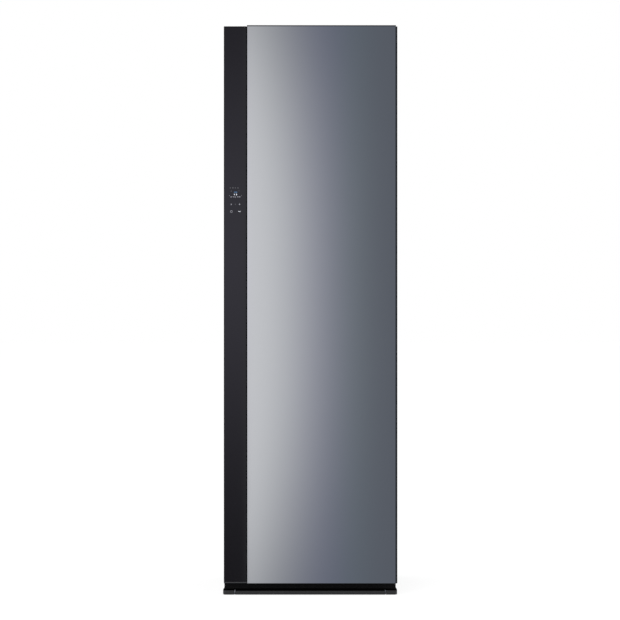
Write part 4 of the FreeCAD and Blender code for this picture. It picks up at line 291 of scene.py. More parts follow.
class Wiring:
    """Short calls for laying shader nodes in one tree."""

    def __init__(self, tree: bpy.types.NodeTree) -> None:
        """Keep the tree that the nodes go into."""
        self.tree = tree

    def node(self, kind: str) -> bpy.types.Node:
        """Add a node of a kind."""
        return self.tree.nodes.new(kind)

    def link(self, source: Socket, target: Socket) -> None:
        """Join two sockets."""
        self.tree.links.new(source, target)

    def show(self, source: Socket, kind: str = "ShaderNodeOutputMaterial") -> None:
        """Lead a shader to the tree's output, which is added here."""
        self.link(source, self.node(kind).inputs["Surface"])

    def place(self) -> Socket:
        """Object coordinates."""
        return self.node("ShaderNodeTexCoord").outputs["Object"]

    def axes(self, place: Socket) -> bpy.types.bpy_prop_collection:
        """Coordinates taken apart.

        Args:
            place: The coordinates.

        Returns:
            The sockets X, Y and Z, by name.
        """
        parts = self.node("ShaderNodeSeparateXYZ")
        self.link(place, parts.inputs["Vector"])
        return parts.outputs

    def maths(self, operation: str, first: Value, second: Value | None = None) -> Socket:
        """One arithmetic step on sockets or plain numbers.

        Args:
            operation: Name of the Math node's operation.
            first: First operand.
            second: Second operand, if the operation has one.

        Returns:
            The result's socket.
        """
        step = self.node("ShaderNodeMath")
        step.operation = operation
        for index, value in enumerate((first, second)):
            if value is None:
                continue
            if isinstance(value, (int, float)):
                step.inputs[index].default_value = value
            else:
                self.link(value, step.inputs[index])
        return step.outputs["Value"]

    def plus(self, first: Value, second: Value) -> Socket:
        """The sum of two values."""
        return self.maths("ADD", first, second)

    def times(self, first: Value, second: Value) -> Socket:
        """The product of two values."""
        return self.maths("MULTIPLY", first, second)

    def mean(self, first: Value, second: Value) -> Socket:
        """Half of the sum of two values."""
        return self.times(self.plus(first, second), 0.5)

    def share(self, value: Value, start: float, size: Value) -> Socket:
        """How far a value is past a start, counted in a size."""
        return self.maths("DIVIDE", self.maths("SUBTRACT", value, start), size)

    def bell(self, value: Socket) -> Socket:
        """The bell curve exp(-value squared)."""
        return self.maths("EXPONENT", self.times(self.times(value, value), -1.0))

    def noise(self, place: Socket, scale: float, detail: float) -> Socket:
        """Noise in space, 0 to 1.

        Args:
            place: Coordinates.
            scale: Features in a metre.
            detail: Octaves.

        Returns:
            The noise value's socket.
        """
        made = self.node("ShaderNodeTexNoise")
        made.inputs["Scale"].default_value = scale
        made.inputs["Detail"].default_value = detail
        self.link(place, made.inputs["Vector"])
        return made.outputs["Fac"]

    def stretched(self, place: Socket, scale: Sequence[float]) -> Socket:
        """Coordinates scaled by axis.

        Args:
            place: Coordinates.
            scale: Factor of each axis.

        Returns:
            The scaled coordinates.
        """
        mapping = self.node("ShaderNodeMapping")
        mapping.inputs["Scale"].default_value = scale
        self.link(place, mapping.inputs["Vector"])
        return mapping.outputs["Vector"]

    def spread(self, value: Socket, middle: float, reach: float) -> Socket:
        """Map a 0-1 value to a band round a middle value.

        Args:
            value: The varying value.
            middle: Middle of the band.
            reach: How far the band goes each way.

        Returns:
            The mapped value's socket.
        """
        band = self.node("ShaderNodeMapRange")
        band.inputs["To Min"].default_value = max(0.0, middle - reach)
        band.inputs["To Max"].default_value = min(1.0, middle + reach)
        self.link(value, band.inputs["Value"])
        return band.outputs["Result"]

    def between(self, factor: Socket, low: Colour, high: Colour) -> Socket:
        """A colour between two colours.

        Args:
            factor: 0 for the first colour, 1 for the second.
            low: First colour.
            high: Second colour.

        Returns:
            The colour's socket.
        """
        mix = self.node("ShaderNodeMix")
        mix.data_type = "RGBA"
        colours = [socket for socket in mix.inputs if socket.type == "RGBA"]
        colours[0].default_value = (*low, 1.0)
        colours[1].default_value = (*high, 1.0)
        self.link(factor, mix.inputs[0])
        return next(socket for socket in mix.outputs if socket.type == "RGBA")

    def ramp(self, value: Socket, start: float, end: float, top: float) -> Socket:
        """A smooth step up.

        Args:
            value: The value that it follows.
            start: Where it leaves 0.
            end: Where it reaches the top.
            top: Its highest value.

        Returns:
            The step's socket.
        """
        step = self.node("ShaderNodeMapRange")
        step.interpolation_type = "SMOOTHSTEP"
        step.inputs["From Min"].default_value = start
        step.inputs["From Max"].default_value = end
        step.inputs["To Max"].default_value = top
        self.link(value, step.inputs["Value"])
        return step.outputs["Result"]


def blank_material(name: str) -> tuple[bpy.types.Material, Wiring]:
    """A material without any nodes.

    Args:
        name: Its name.

    Returns:
        The material and its wiring.
    """
    made = bpy.data.materials.new(name)
    made.use_nodes = True
    made.node_tree.nodes.clear()
    return made, Wiring(made.node_tree)


def lit(name: str, colour: Colour, glow: float) -> Finish:
    """The finish of lit marks on the display."""
    return Finish(name, colour, 0.5, grain=Grain.POLISHED, scale=200.0, depth=0.0, variation=0.02, glow=glow,
                  slot="circuit_board")


MIRROR = Finish("tinted_mirror", (0.735, 0.735, 0.738), 0.03, metallic=1.0, grain=Grain.POLISHED, scale=30.0,
                depth=0.0, variation=0.01, mottle=0.01, slot="mirror")
MIRROR_EDGE = Finish("ground_glass_edge", (0.012, 0.014, 0.015), 0.5, grain=Grain.POLISHED, scale=300.0,
                     depth=0.00002, variation=0.1, gloss=0.1, slot="mirror")
BLACK_GLASS = Finish("black_printed_glass", (0.003, 0.003, 0.004), 0.04, grain=Grain.POLISHED, scale=40.0,
                     depth=0.0, variation=0.05, mottle=0.012, slot="black_glass")
GLASS_BORDER = Finish("black_glass_border", (0.004, 0.004, 0.005), 0.5, grain=Grain.POLISHED, scale=60.0,
                      depth=0.0, variation=0.05, gloss=0.0, slot="black_glass")
# Painted highlight: pale grey for the underside of the control strip's lower border, where a light line
# shows.
LIP_HIGHLIGHT_GLASS = Finish("painted_highlight_lip", (0.085, 0.085, 0.09), 0.4, grain=Grain.POLISHED, scale=60.0,
                   depth=0.0, variation=0.05, gloss=0.2, slot="black_glass")
EDGE_TRIM = Finish("dark_anodised_trim", (0.09, 0.09, 0.095), 0.34, metallic=1.0, grain=Grain.BRUSHED,
                   scale=2500.0, depth=0.00001, variation=0.12, slot="dark_trim")
DOOR_COAT = Finish("dark_door_coat", (0.009, 0.011, 0.015), 0.42, grain=Grain.COATED, scale=700.0,
                   depth=0.00003, variation=0.08, mottle=0.03, gloss=0.3, slot="door_paint")
CABINET_COAT = Finish("charcoal_powder_coat", (0.030, 0.031, 0.035), 0.46, grain=Grain.COATED, scale=900.0,
                      depth=0.00006, variation=0.07, mottle=0.02, slot="cabinet_paint")
BASE_PLASTIC = Finish("grained_base_plastic", (0.024, 0.024, 0.025), 0.5, scale=1400.0, depth=0.00005,
                      gloss=0.35)
# Painted shade: the kick cover's upper part under the door is darker than its rail, and a black band of
# painted shadow lies between them.
KICK_SHADE_PLASTIC = Finish("painted_shade_kick", (0.009, 0.009, 0.0095), 0.7, scale=1400.0, depth=0.00005,
                      gloss=0.05)
SHADOW_BAND_PLASTIC = Finish("painted_shadow_band", (0.0012, 0.0012, 0.0013), 0.8, scale=1400.0, depth=0.00005,
                        gloss=0.02)
COVER_PLASTIC = Finish("black_cover_plastic", (0.022, 0.022, 0.024), 0.45, scale=1500.0, depth=0.00005)
ZINC = Finish("zinc_plated_sheet", (0.40, 0.41, 0.42), 0.40, metallic=1.0, grain=Grain.BRUSHED, scale=500.0,
              depth=0.00002, variation=0.14, along=Axis.Z, slot="zinc_steel")
LINER = Finish("pale_liner_plastic", (0.54, 0.55, 0.56), 0.33, scale=260.0, depth=0.00001, variation=0.025,
               mottle=0.03, slot="liner_plastic")
GREY_PLASTIC = Finish("slate_plastic", (0.085, 0.088, 0.095), 0.42, scale=1300.0, depth=0.00005,
                      slot="grey_plastic")
TANK = Finish("smoke_tank_plastic", (0.45, 0.48, 0.52), 0.12, grain=Grain.POLISHED, scale=60.0,
              depth=0.00002, variation=0.03, clear=0.55, slot="tank_plastic")
SEAL = Finish("seal_rubber", (0.022, 0.022, 0.023), 0.62, scale=2200.0, depth=0.00006, variation=0.14,
              slot="seal_rubber")
PAD = Finish("press_pad_cloth", (0.20, 0.205, 0.22), 0.85, grain=Grain.WEAVE, scale=420.0, depth=0.0003,
             variation=0.22, sheen=0.25, slot="pad_fabric")
PIPING = Finish("pad_piping_cloth", (0.07, 0.072, 0.08), 0.8, grain=Grain.WEAVE, scale=700.0, depth=0.0002,
                variation=0.2, sheen=0.2, slot="pad_fabric")
STEEL = Finish("polished_steel", (0.62, 0.62, 0.63), 0.14, metallic=1.0, grain=Grain.BRUSHED, scale=1500.0,
               depth=0.00001, slot="bright_steel")
FOAM = Finish("cream_foam", (0.78, 0.76, 0.68), 0.9, grain=Grain.FOAM, scale=350.0, depth=0.0006,
              variation=0.1, slot="foam")
LENS = Finish("frosted_lens", (0.85, 0.86, 0.86), 0.35, grain=Grain.POLISHED, scale=400.0, depth=0.00003,
              variation=0.03, clear=0.3, slot="lamp_lens")
BRONZE = Finish("sintered_bronze", (0.42, 0.28, 0.13), 0.42, metallic=1.0, grain=Grain.CAST, scale=2500.0,
                depth=0.00004, variation=0.2, slot="bronze")
COPPER = Finish("drawn_copper", (0.68, 0.32, 0.19), 0.3, metallic=1.0, grain=Grain.CAST, scale=400.0,
                depth=0.00002, variation=0.2, slot="copper")
FINS = Finish("rolled_fins", (0.66, 0.67, 0.69), 0.36, metallic=1.0, grain=Grain.BRUSHED, scale=700.0,
              depth=0.00001, variation=0.1, along=Axis.Z, slot="fins")
ENAMEL = Finish("black_enamel", (0.012, 0.012, 0.013), 0.28, grain=Grain.COATED, scale=250.0, depth=0.0001,
                variation=0.15, slot="machine_black")
NYLON = Finish("dark_nylon", (0.055, 0.055, 0.06), 0.5, scale=1600.0, depth=0.00006, variation=0.1,
               slot="machine_plastic")
CASTING = Finish("cast_aluminium", (0.52, 0.52, 0.53), 0.48, metallic=1.0, grain=Grain.CAST, scale=900.0,
                 depth=0.0001, variation=0.15, slot="boiler_metal")
BOARD = Finish("solder_mask", (0.008, 0.045, 0.025), 0.35, scale=800.0, depth=0.00003, variation=0.2,
               slot="circuit_board")
GLOW_WHITE = lit("display_white", (0.62, 0.64, 0.70), 0.42)
GLOW_SOFT = lit("display_soft", (0.24, 0.24, 0.27), 0.25)
GLOW_DIM = lit("display_dim", (0.10, 0.10, 0.11), 0.2)
GLOW_BLUE = lit("display_blue", (0.035, 0.08, 0.15), 0.6)

NODE_FINISHES: dict[Finish, tuple[str, ...]] = {
    DOOR_COAT: ("door_casing",),
    COVER_PLASTIC: ("hinge_cover", "door_grip", "rear_spacers", "power_inlet", "blower_housing"),
    BASE_PLASTIC: ("front_base_cover", "base_caps"),
    EDGE_TRIM: ("mirror_top_trim",),
    MIRROR: ("mirror_glass",),
    BLACK_GLASS: ("control_glass",),
    BOARD: ("display_board",),
    CABINET_COAT: ("side_panels", "top_cover", "front_frame"),
    ZINC: ("rear_cover", "base_frame", "hinge_brackets", "drive_frame", "panel_screws"),
    LINER: ("door_liner", "tub", "module_housing"),
    GREY_PLASTIC: ("press_plate", "shelf", "air_outlet_grille", "bar_carrier", "water_tank_cap",
                   "drain_tank_cap", "press_latch", "lint_filter", "trouser_holder", "press_brackets"),
    TANK: ("water_tank", "drain_tank"),
    SEAL: ("door_gasket", "compressor_mounts", "drive_belt", "water_hoses", "rear_feet"),
    PAD: ("press_pad",),
    STEEL: ("hanger_guides", "hanger_bar", "front_foot_left", "front_foot_right"),
    FOAM: ("door_insulation", "cabinet_insulation"),
    LENS: ("interior_lamp",),
    BRONZE: ("door_hinge_bushes",),
    COPPER: ("refrigerant_pipes",),
    FINS: ("heat_exchangers",),
    ENAMEL: ("compressor", "drive_motor", "blower_motor"),
    NYLON: ("crank_wheel", "motor_pulley", "blower_wheel", "pumps", "control_board"),
    CASTING: ("steam_generator",),
}


def own_finish(node: str) -> Finish:
    """The finish that a CAD node wears."""
    return next(finish for finish, nodes in NODE_FINISHES.items() if node in nodes)


def dress_nodes() -> None:
    """Give every node of the frame its finish."""
    for finish, names in NODE_FINISHES.items():
        for name in names:
            for holder in frame["nodes"][name].material_slots:
                holder.material = finish.material()
            LOG.info("%s: %s", name, finish.name)


# ------------------------------------------------------------------------------ workshop

Mesh = bmesh.types.BMesh
Edge = bmesh.types.BMEdge

# Angles in degrees: a hard edge's least and most, the least of a rim's, and what still counts as flat.
HARD_ANGLE = 35.0
KNIFE_ANGLE = 150.0
RIM_ANGLE = 20.0
FLAT_ANGLE = 0.5
# The cosine at which two directions are the same.
SAME_WAY = 0.999
# Distances in millimetres: of points that are one, of levels that are one, and of slivers to dissolve.
WELD = 0.002
SAME_LEVEL = 0.0001
SLIVER = 0.002
# Facets of a plate's corners and rims.
CORNER_FACETS = 6
RIM_FACETS = 3


@lru_cache(maxsize=None)
def span(node: str) -> tuple[Vector, Vector]:
    """Lowest and highest corner of a CAD node, in millimetres."""
    low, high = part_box(node)
    return low / MM, high / MM


def block(low: Point, high: Point) -> Mesh:
    """A box.

    Args:
        low: Lowest corner in millimetres.
        high: Highest corner in millimetres.

    Returns:
        The box's mesh.
    """
    bm = bmesh.new()
    size = Vector(high) - Vector(low)
    middle = (Vector(high) + Vector(low)) / 2
    place = Matrix.Translation(middle) @ Matrix.Diagonal((*size, 1.0))
    bmesh.ops.create_cube(bm, size=1.0, matrix=place)
    return bm


def turned_to(axis: Axis) -> Matrix:
    """The turn that lays the Z axis along another axis.

    Args:
        axis: The other axis.

    Returns:
        The turn.
    """
    if axis is Axis.X:
        return Matrix.Rotation(math.pi / 2, 4, "Y")
    if axis is Axis.Y:
        return Matrix.Rotation(math.pi / 2, 4, "X")
    return Matrix.Identity(4)


def drum(radius: float, length: float, axis: Axis, middle: Point, sides: int) -> Mesh:
    """A closed round bar.

    Args:
        radius: Its radius in millimetres.
        length: Its length in millimetres.
        axis: The way that it points.
        middle: Its middle.
        sides: Number of flats round it.

    Returns:
        The bar's mesh.
    """
    bm = bmesh.new()
    place = Matrix.Translation(middle) @ turned_to(axis)
    bmesh.ops.create_cone(bm, cap_ends=True, segments=sides, radius1=radius, radius2=radius,
                          depth=length, matrix=place)
    return bm


def ring(radius: float, wire: float, axis: Axis, middle: Point, turns: int, sides: int) -> Mesh:
    """A round wire bent to a ring.

    Args:
        radius: Radius to the middle of the wire, in millimetres.
        wire: Radius of the wire.
        axis: The ring's axis.
        middle: The ring's middle.
        turns: Steps round the ring.
        sides: Flats round the wire.

    Returns:
        The ring's mesh.
    """
    bm = bmesh.new()
    start = Matrix.Translation((radius, 0.0, 0.0)) @ Matrix.Rotation(math.pi / 2, 4, "X")
    bmesh.ops.create_circle(bm, cap_ends=False, segments=sides, radius=wire, matrix=start)
    bmesh.ops.spin(bm, geom=bm.edges[:], cent=(0.0, 0.0, 0.0), axis=(0.0, 0.0, 1.0),
                   angle=math.tau, steps=turns, use_merge=True)
    bmesh.ops.recalc_face_normals(bm, faces=bm.faces)
    bmesh.ops.transform(bm, matrix=Matrix.Translation(middle) @ turned_to(axis), verts=bm.verts)
    return bm


def joined(parts: Iterable[Mesh]) -> Mesh:
    """One mesh of several.

    Args:
        parts: The meshes, which are used up.

    Returns:
        The whole.
    """
    whole = bmesh.new()
    for part in parts:
        carrier = bpy.data.meshes.new("carrier")
        part.to_mesh(carrier)
        part.free()
        whole.from_mesh(carrier)
        bpy.data.meshes.remove(carrier)
    return whole


def sharp_edges(bm: Mesh, degrees: float = HARD_ANGLE) -> list[Edge]:
    """Edges at which two faces meet at more than an angle, apart from knife edges.

    Args:
        bm: Mesh to search.
        degrees: The angle.

    Returns:
        The edges.
    """
    least, most = math.radians(degrees), math.radians(KNIFE_ANGLE)
    return [edge for edge in bm.edges
            if len(edge.link_faces) == 2 and least < edge.calc_face_angle(0.0) < most]


def middle_of(edge: Edge) -> Vector:
    """The middle of an edge."""
    return (edge.verts[0].co + edge.verts[1].co) / 2


def edges_along(bm: Mesh, axis: Axis) -> list[Edge]:
    """Edges that lie along an axis.

    Args:
        bm: Mesh to search.
        axis: The axis.

    Returns:
        The edges.
    """
    way = Vector(axis.value)
    runs = {edge: (edge.verts[1].co - edge.verts[0].co).normalized() for edge in bm.edges}
    return [edge for edge, run in runs.items() if abs(run.dot(way)) > SAME_WAY]


def rim_edges(bm: Mesh, axis: Axis, level: float) -> list[Edge]:
    """The sharp edges that lie in a plane square to an axis.

    Args:
        bm: Mesh to search.
        axis: Axis that the plane is square to.
        level: Place of the plane along the axis.

    Returns:
        The edges.
    """
    way = Vector(axis.value)
    return [edge for edge in sharp_edges(bm, RIM_ANGLE)
            if all(abs(vert.co.dot(way) - level) < SAME_LEVEL for vert in edge.verts)]


def round_edges(bm: Mesh, edges: Sequence[Edge], width: float, segments: int, clamp: bool = True) -> None:
    """Round edges over.

    Args:
        bm: Mesh that they belong to.
        edges: Edges to round.
        width: Setback of the round from the edge, in the mesh's unit.
        segments: Facets of the round.
        clamp: Narrow the round everywhere where it would overlap itself anywhere.
    """
    bmesh.ops.bevel(bm, geom=list(edges), offset=width, offset_type="OFFSET", segments=segments,
                    profile=0.5, affect="EDGES", clamp_overlap=clamp, material=-1)


def slab(low: Point, high: Point, facing: Axis, corner: float, rim: float,
         segments: int = CORNER_FACETS) -> Mesh:
    """A plate with rounded corners and an eased rim on both faces.

    Args:
        low: Lowest corner.
        high: Highest corner.
        facing: Axis that the plate's faces look along.
        corner: Radius of the corners.
        rim: Radius of the rims, 0 for sharp ones.
        segments: Facets of a corner.

    Returns:
        The plate's mesh.
    """
    bm = block(low, high)
    round_edges(bm, edges_along(bm, facing), corner, segments)
    if rim > 0.0:
        way = Vector(facing.value)
        for level in (Vector(low).dot(way), Vector(high).dot(way)):
            round_edges(bm, rim_edges(bm, facing, level), rim, RIM_FACETS)
    return bm


def paint(bm: Mesh, index: int, test: Callable[[bmesh.types.BMFace], bool]) -> None:
    """Give some faces another of the piece's materials.

    Args:
        bm: Mesh that they belong to.
        index: Number of the material.
        test: Tells whether a face gets it.
    """
    bm.faces.ensure_lookup_table()
    bm.normal_update()
    for face in bm.faces:
        if test(face):
            face.material_index = index


def finished(name: str, bm: Mesh, body: Body, finishes: Sequence[Finish], stands_for: Sequence[str] = (),
             crease: float = HARD_ANGLE, unit: float = MM) -> bpy.types.Object:
    """Turn a mesh into a piece of the cabinet.

    Args:
        name: The piece's name.
        bm: Its mesh, which is used up.
        body: The body that it moves with.
        finishes: Its materials, the main one first.
        stands_for: CAD nodes that it replaces.
        crease: Angle above which an edge stays hard, in degrees.
        unit: Length of the mesh's unit in metres.

    Returns:
        The new object.
    """
    bmesh.ops.scale(bm, vec=(unit, unit, unit), verts=bm.verts)
    mesh = bpy.data.meshes.new(name)
    bm.to_mesh(mesh)
    bm.free()
    for finish in finishes:
        mesh.materials.append(finish.material())
    mesh.shade_smooth()
    mesh.set_sharp_from_angle(angle=math.radians(crease))
    piece = bpy.data.objects.new(name, mesh)
    bpy.context.scene.collection.objects.link(piece)
    level = piece.modifiers.new("flat_faces_stay_flat", "WEIGHTED_NORMAL")
    level.keep_sharp = True
    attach(piece, body.value)
    if stands_for:
        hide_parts(*stands_for)
    LOG.info("%s: %d faces on %s", name, len(mesh.polygons), body.value)
    return piece


def node_copy(node: str) -> Mesh:
    """A CAD node's shape as a closed mesh, its facets joined where they are flat.

    Args:
        node: The node.

    Returns:
        The mesh, in millimetres.
    """
    bm = bmesh.new()
    bm.from_mesh(frame["nodes"][node].data)
    bmesh.ops.remove_doubles(bm, verts=bm.verts, dist=WELD * MM)
    bmesh.ops.scale(bm, vec=(1.0 / MM, 1.0 / MM, 1.0 / MM), verts=bm.verts)
    bmesh.ops.dissolve_limit(bm, angle_limit=math.radians(FLAT_ANGLE), verts=bm.verts, edges=bm.edges)
    return bm


def nowhere(_: Vector) -> bool:
    """The choice of no place at all."""
    return False


@dataclass(frozen=True)
class Easing:
    """A CAD node whose hard edges are eased, by as much as its thinnest wall takes.

    Args:
        node: The node.
        width: Setback of the easing in millimetres.
        segments: Facets of the easing.
    """

    node: str
    width: float
    segments: int = 2

    def mesh(self, leave: Callable[[Vector], bool] = nowhere) -> Mesh:
        """The node's shape with its edges eased.

        Args:
            leave: Tells of an edge's middle whether the edge stays hard.

        Returns:
            The mesh.
        """
        bm = node_copy(self.node)
        edges = [edge for edge in sharp_edges(bm) if not leave(middle_of(edge))]
        round_edges(bm, edges, self.width, self.segments, clamp=False)
        bmesh.ops.dissolve_degenerate(bm, dist=SLIVER, edges=bm.edges)
        return bm

    def put(self, bm: Mesh, finishes: Sequence[Finish]) -> None:
        """Put a mesh in the node's place.

        Args:
            bm: The mesh, which is used up.
            finishes: Its materials, the main one first.
        """
        body = Body(body_of(frame["nodes"][self.node])[0])
        finished(f"{self.node}_finished", bm, body, finishes, (self.node,))

    def build(self, leave: Callable[[Vector], bool] = nowhere) -> None:
        """Replace the node by its own shape with its edges eased, in its own finish."""
        self.put(self.mesh(leave), (own_finish(self.node),))


def ease_all(easings: Sequence[Easing]) -> None:
    """Ease nodes one after the other."""
    for easing in easings:
        easing.build()


# ------------------------------------------------------------------------------ door face

@dataclass(frozen=True)
class MarkRow:
    """Marks of one brightness: (middle x, middle z, width, height) in millimetres.

    Args:
        finish: The display finish that they have.
        corner: Corner radius as a share of the mark's smaller side.
        marks: The marks.
    """

    finish: Finish
    corner: float
    marks: tuple[tuple[float, float, float, float], ...]


@dataclass(frozen=True)
class MarkRing:
    """A round mark.

    Args:
        finish: The display finish that they have.
        x: Its middle.
        z: Its middle.
        radius: Radius to the middle of its stroke.
        stroke: Width of its stroke.
    """

    finish: Finish
    x: float
    z: float
    radius: float
    stroke: float


DISPLAY_FINISHES = (GLOW_WHITE, GLOW_SOFT, GLOW_DIM, GLOW_BLUE)
DISPLAY_ROWS = (
    MarkRow(GLOW_DIM, 0.3, ((-274.4, 1401.0, 2.4, 4.0), (-265.0, 1401.0, 3.4, 4.0),
                            (-256.8, 1400.6, 2.0, 4.4), (-247.9, 1400.6, 2.6, 4.4),
                            (-271.1, 1389.8, 2.6, 2.8), (-244.6, 1390.4, 4.6, 1.0),
                            (-257.0, 1344.3, 1.4, 5.0))),
    MarkRow(GLOW_BLUE, 0.3, ((-255.8, 1385.9, 11.2, 4.6),)),
    MarkRow(GLOW_WHITE, 0.3, ((-260.2, 1378.3, 3.0, 4.4), (-252.7, 1377.9, 2.9, 5.4))),
    MarkRow(GLOW_SOFT, 0.4, ((-271.1, 1369.8, 5.2, 2.8), (-263.0, 1370.0, 4.6, 2.4),
                             (-256.8, 1369.4, 4.6, 2.8), (-248.3, 1370.0, 4.2, 2.8),
                             (-242.3, 1370.0, 5.8, 2.8), (-277.0, 1374.4, 1.8, 1.8),
                             (-236.2, 1374.4, 1.8, 1.8), (-271.0, 1344.2, 4.0, 4.4),
                             (-242.4, 1344.2, 4.2, 4.6))),
    MarkRow(GLOW_WHITE, 0.3, ((-242.9, 1319.3, 7.4, 1.5),)),
    MarkRow(GLOW_SOFT, 0.3, ((-246.8, 1321.4, 1.4, 2.6), (-239.0, 1321.4, 1.4, 2.6))),
)
DISPLAY_RINGS = (MarkRing(GLOW_SOFT, -270.6, 1319.4, 3.5, 1.3),)


@dataclass
class DoorFace:
    """The mirror pane, the black control strip and its display, and the trim over the mirror.

    Args:
        pane_edge: Width of the mirror's ground edge.
        pane_crease: Angle in degrees above which the mirror's edges stay hard.
        flat: Least cosine at which a face of the glass still looks straight ahead.
        strip_corner: Radius of the strip's corners.
        strip_bevel: Width of the strip's sloping border.
        strip_drop: How far the border falls away from the face.
        strip_facets: Facets of that border.
        strip_crease: Angle in degrees above which the strip's edges stay hard.
        highlight_slope: Least downward tilt of the border's faces that carry the painted highlight, a pale
            grey.
        trim: Easing of the trim over the mirror.
        mark_height: How far the lit marks stand proud of the glass.
        mark_root: How deep they reach into it.
        mark_facets: Facets of a mark's corner.
        ring_turns: Steps round a round mark.
        ring_sides: Flats round its stroke.
    """

    pane_edge: float = 1.4
    pane_crease: float = 10.0
    flat: float = 0.9999
    strip_corner: float = 3.0
    strip_bevel: float = 2.6
    strip_drop: float = 0.6
    strip_facets: int = 6
    strip_crease: float = 40.0
    highlight_slope: float = 0.05
    trim: Easing = Easing("mirror_top_trim", 0.5)
    mark_height: float = 0.12
    mark_root: float = 0.3
    mark_facets: int = 3
    ring_turns: int = 36
    ring_sides: int = 8

    def build(self) -> None:
        """Make every piece of the door's face."""
        self.pane()
        self.strip()
        self.trim.build()
        self.marks()

    def pane(self) -> None:
        """The mirror: a silvered front, its edge ground at both sides and below."""
        low, high = span("mirror_glass")
        bm = block(low, high)
        front = rim_edges(bm, Axis.Y, low.y)
        under_trim = high.z - self.pane_edge
        free = [edge for edge in front if middle_of(edge).z < under_trim]
        round_edges(bm, free, self.pane_edge, 1)
        paint(bm, 1, lambda face: face.normal.y > -self.flat)
        finished("mirror_pane", bm, Body.DOOR, (MIRROR, MIRROR_EDGE), ("mirror_glass",), self.pane_crease)

    def strip(self) -> None:
        """The control strip: black glass whose border slopes away to its edge, with a painted highlight on
        the lower border's underside.
        """
        low, high = span("control_glass")
        stretch = self.strip_bevel / self.strip_drop
        front = high.y - (high.y - low.y) * stretch
        bm = block((low.x, front, low.z), high)
        round_edges(bm, edges_along(bm, Axis.Y), self.strip_corner, self.strip_facets)
        round_edges(bm, rim_edges(bm, Axis.Y, front), self.strip_bevel, self.strip_facets)
        flatten = Matrix.Diagonal((1.0, 1.0 / stretch, 1.0, 1.0))
        back = Matrix.Translation((0.0, high.y, 0.0))
        bmesh.ops.transform(bm, matrix=back @ flatten @ back.inverted(), verts=bm.verts)
        highlight_top = low.z + self.strip_bevel
        paint(bm, 1, lambda face: face.normal.y > -self.flat)
        # Painted highlight: the downward faces of the lower border turn pale grey.
        paint(bm, 2, lambda face: face.calc_center_median().z < highlight_top and face.normal.z < -self.highlight_slope)
        finished("control_strip", bm, Body.DOOR, (BLACK_GLASS, GLASS_BORDER, LIP_HIGHLIGHT_GLASS), ("control_glass",),
                 self.strip_crease)

    def marks(self) -> None:
        """The display's lit marks: dots, dashes, bars and a ring, without any lettering."""
        face = span("control_glass")[0].y
        parts: list[Mesh] = []
        for row in DISPLAY_ROWS:
            for x, z, width, height in row.marks:
                bm = slab((x - width / 2, face - self.mark_height, z - height / 2),
                          (x + width / 2, face + self.mark_root, z + height / 2), Axis.Y,
                          row.corner * min(width, height), 0.0, self.mark_facets)
                paint(bm, DISPLAY_FINISHES.index(row.finish), lambda _: True)
                parts.append(bm)
        for mark in DISPLAY_RINGS:
            bm = ring(mark.radius, mark.stroke / 2, Axis.Y, (mark.x, 0.0, mark.z), self.ring_turns,
                      self.ring_sides)
            bmesh.ops.scale(bm, vec=(1.0, 2.0 * self.mark_height / mark.stroke, 1.0), verts=bm.verts)
            bmesh.ops.translate(bm, vec=(0.0, face, 0.0), verts=bm.verts)
            paint(bm, DISPLAY_FINISHES.index(mark.finish), lambda _: True)
            parts.append(bm)
        finished("display_marks", joined(parts), Body.DOOR, DISPLAY_FINISHES)


# ------------------------------------------------------------------------------ door body

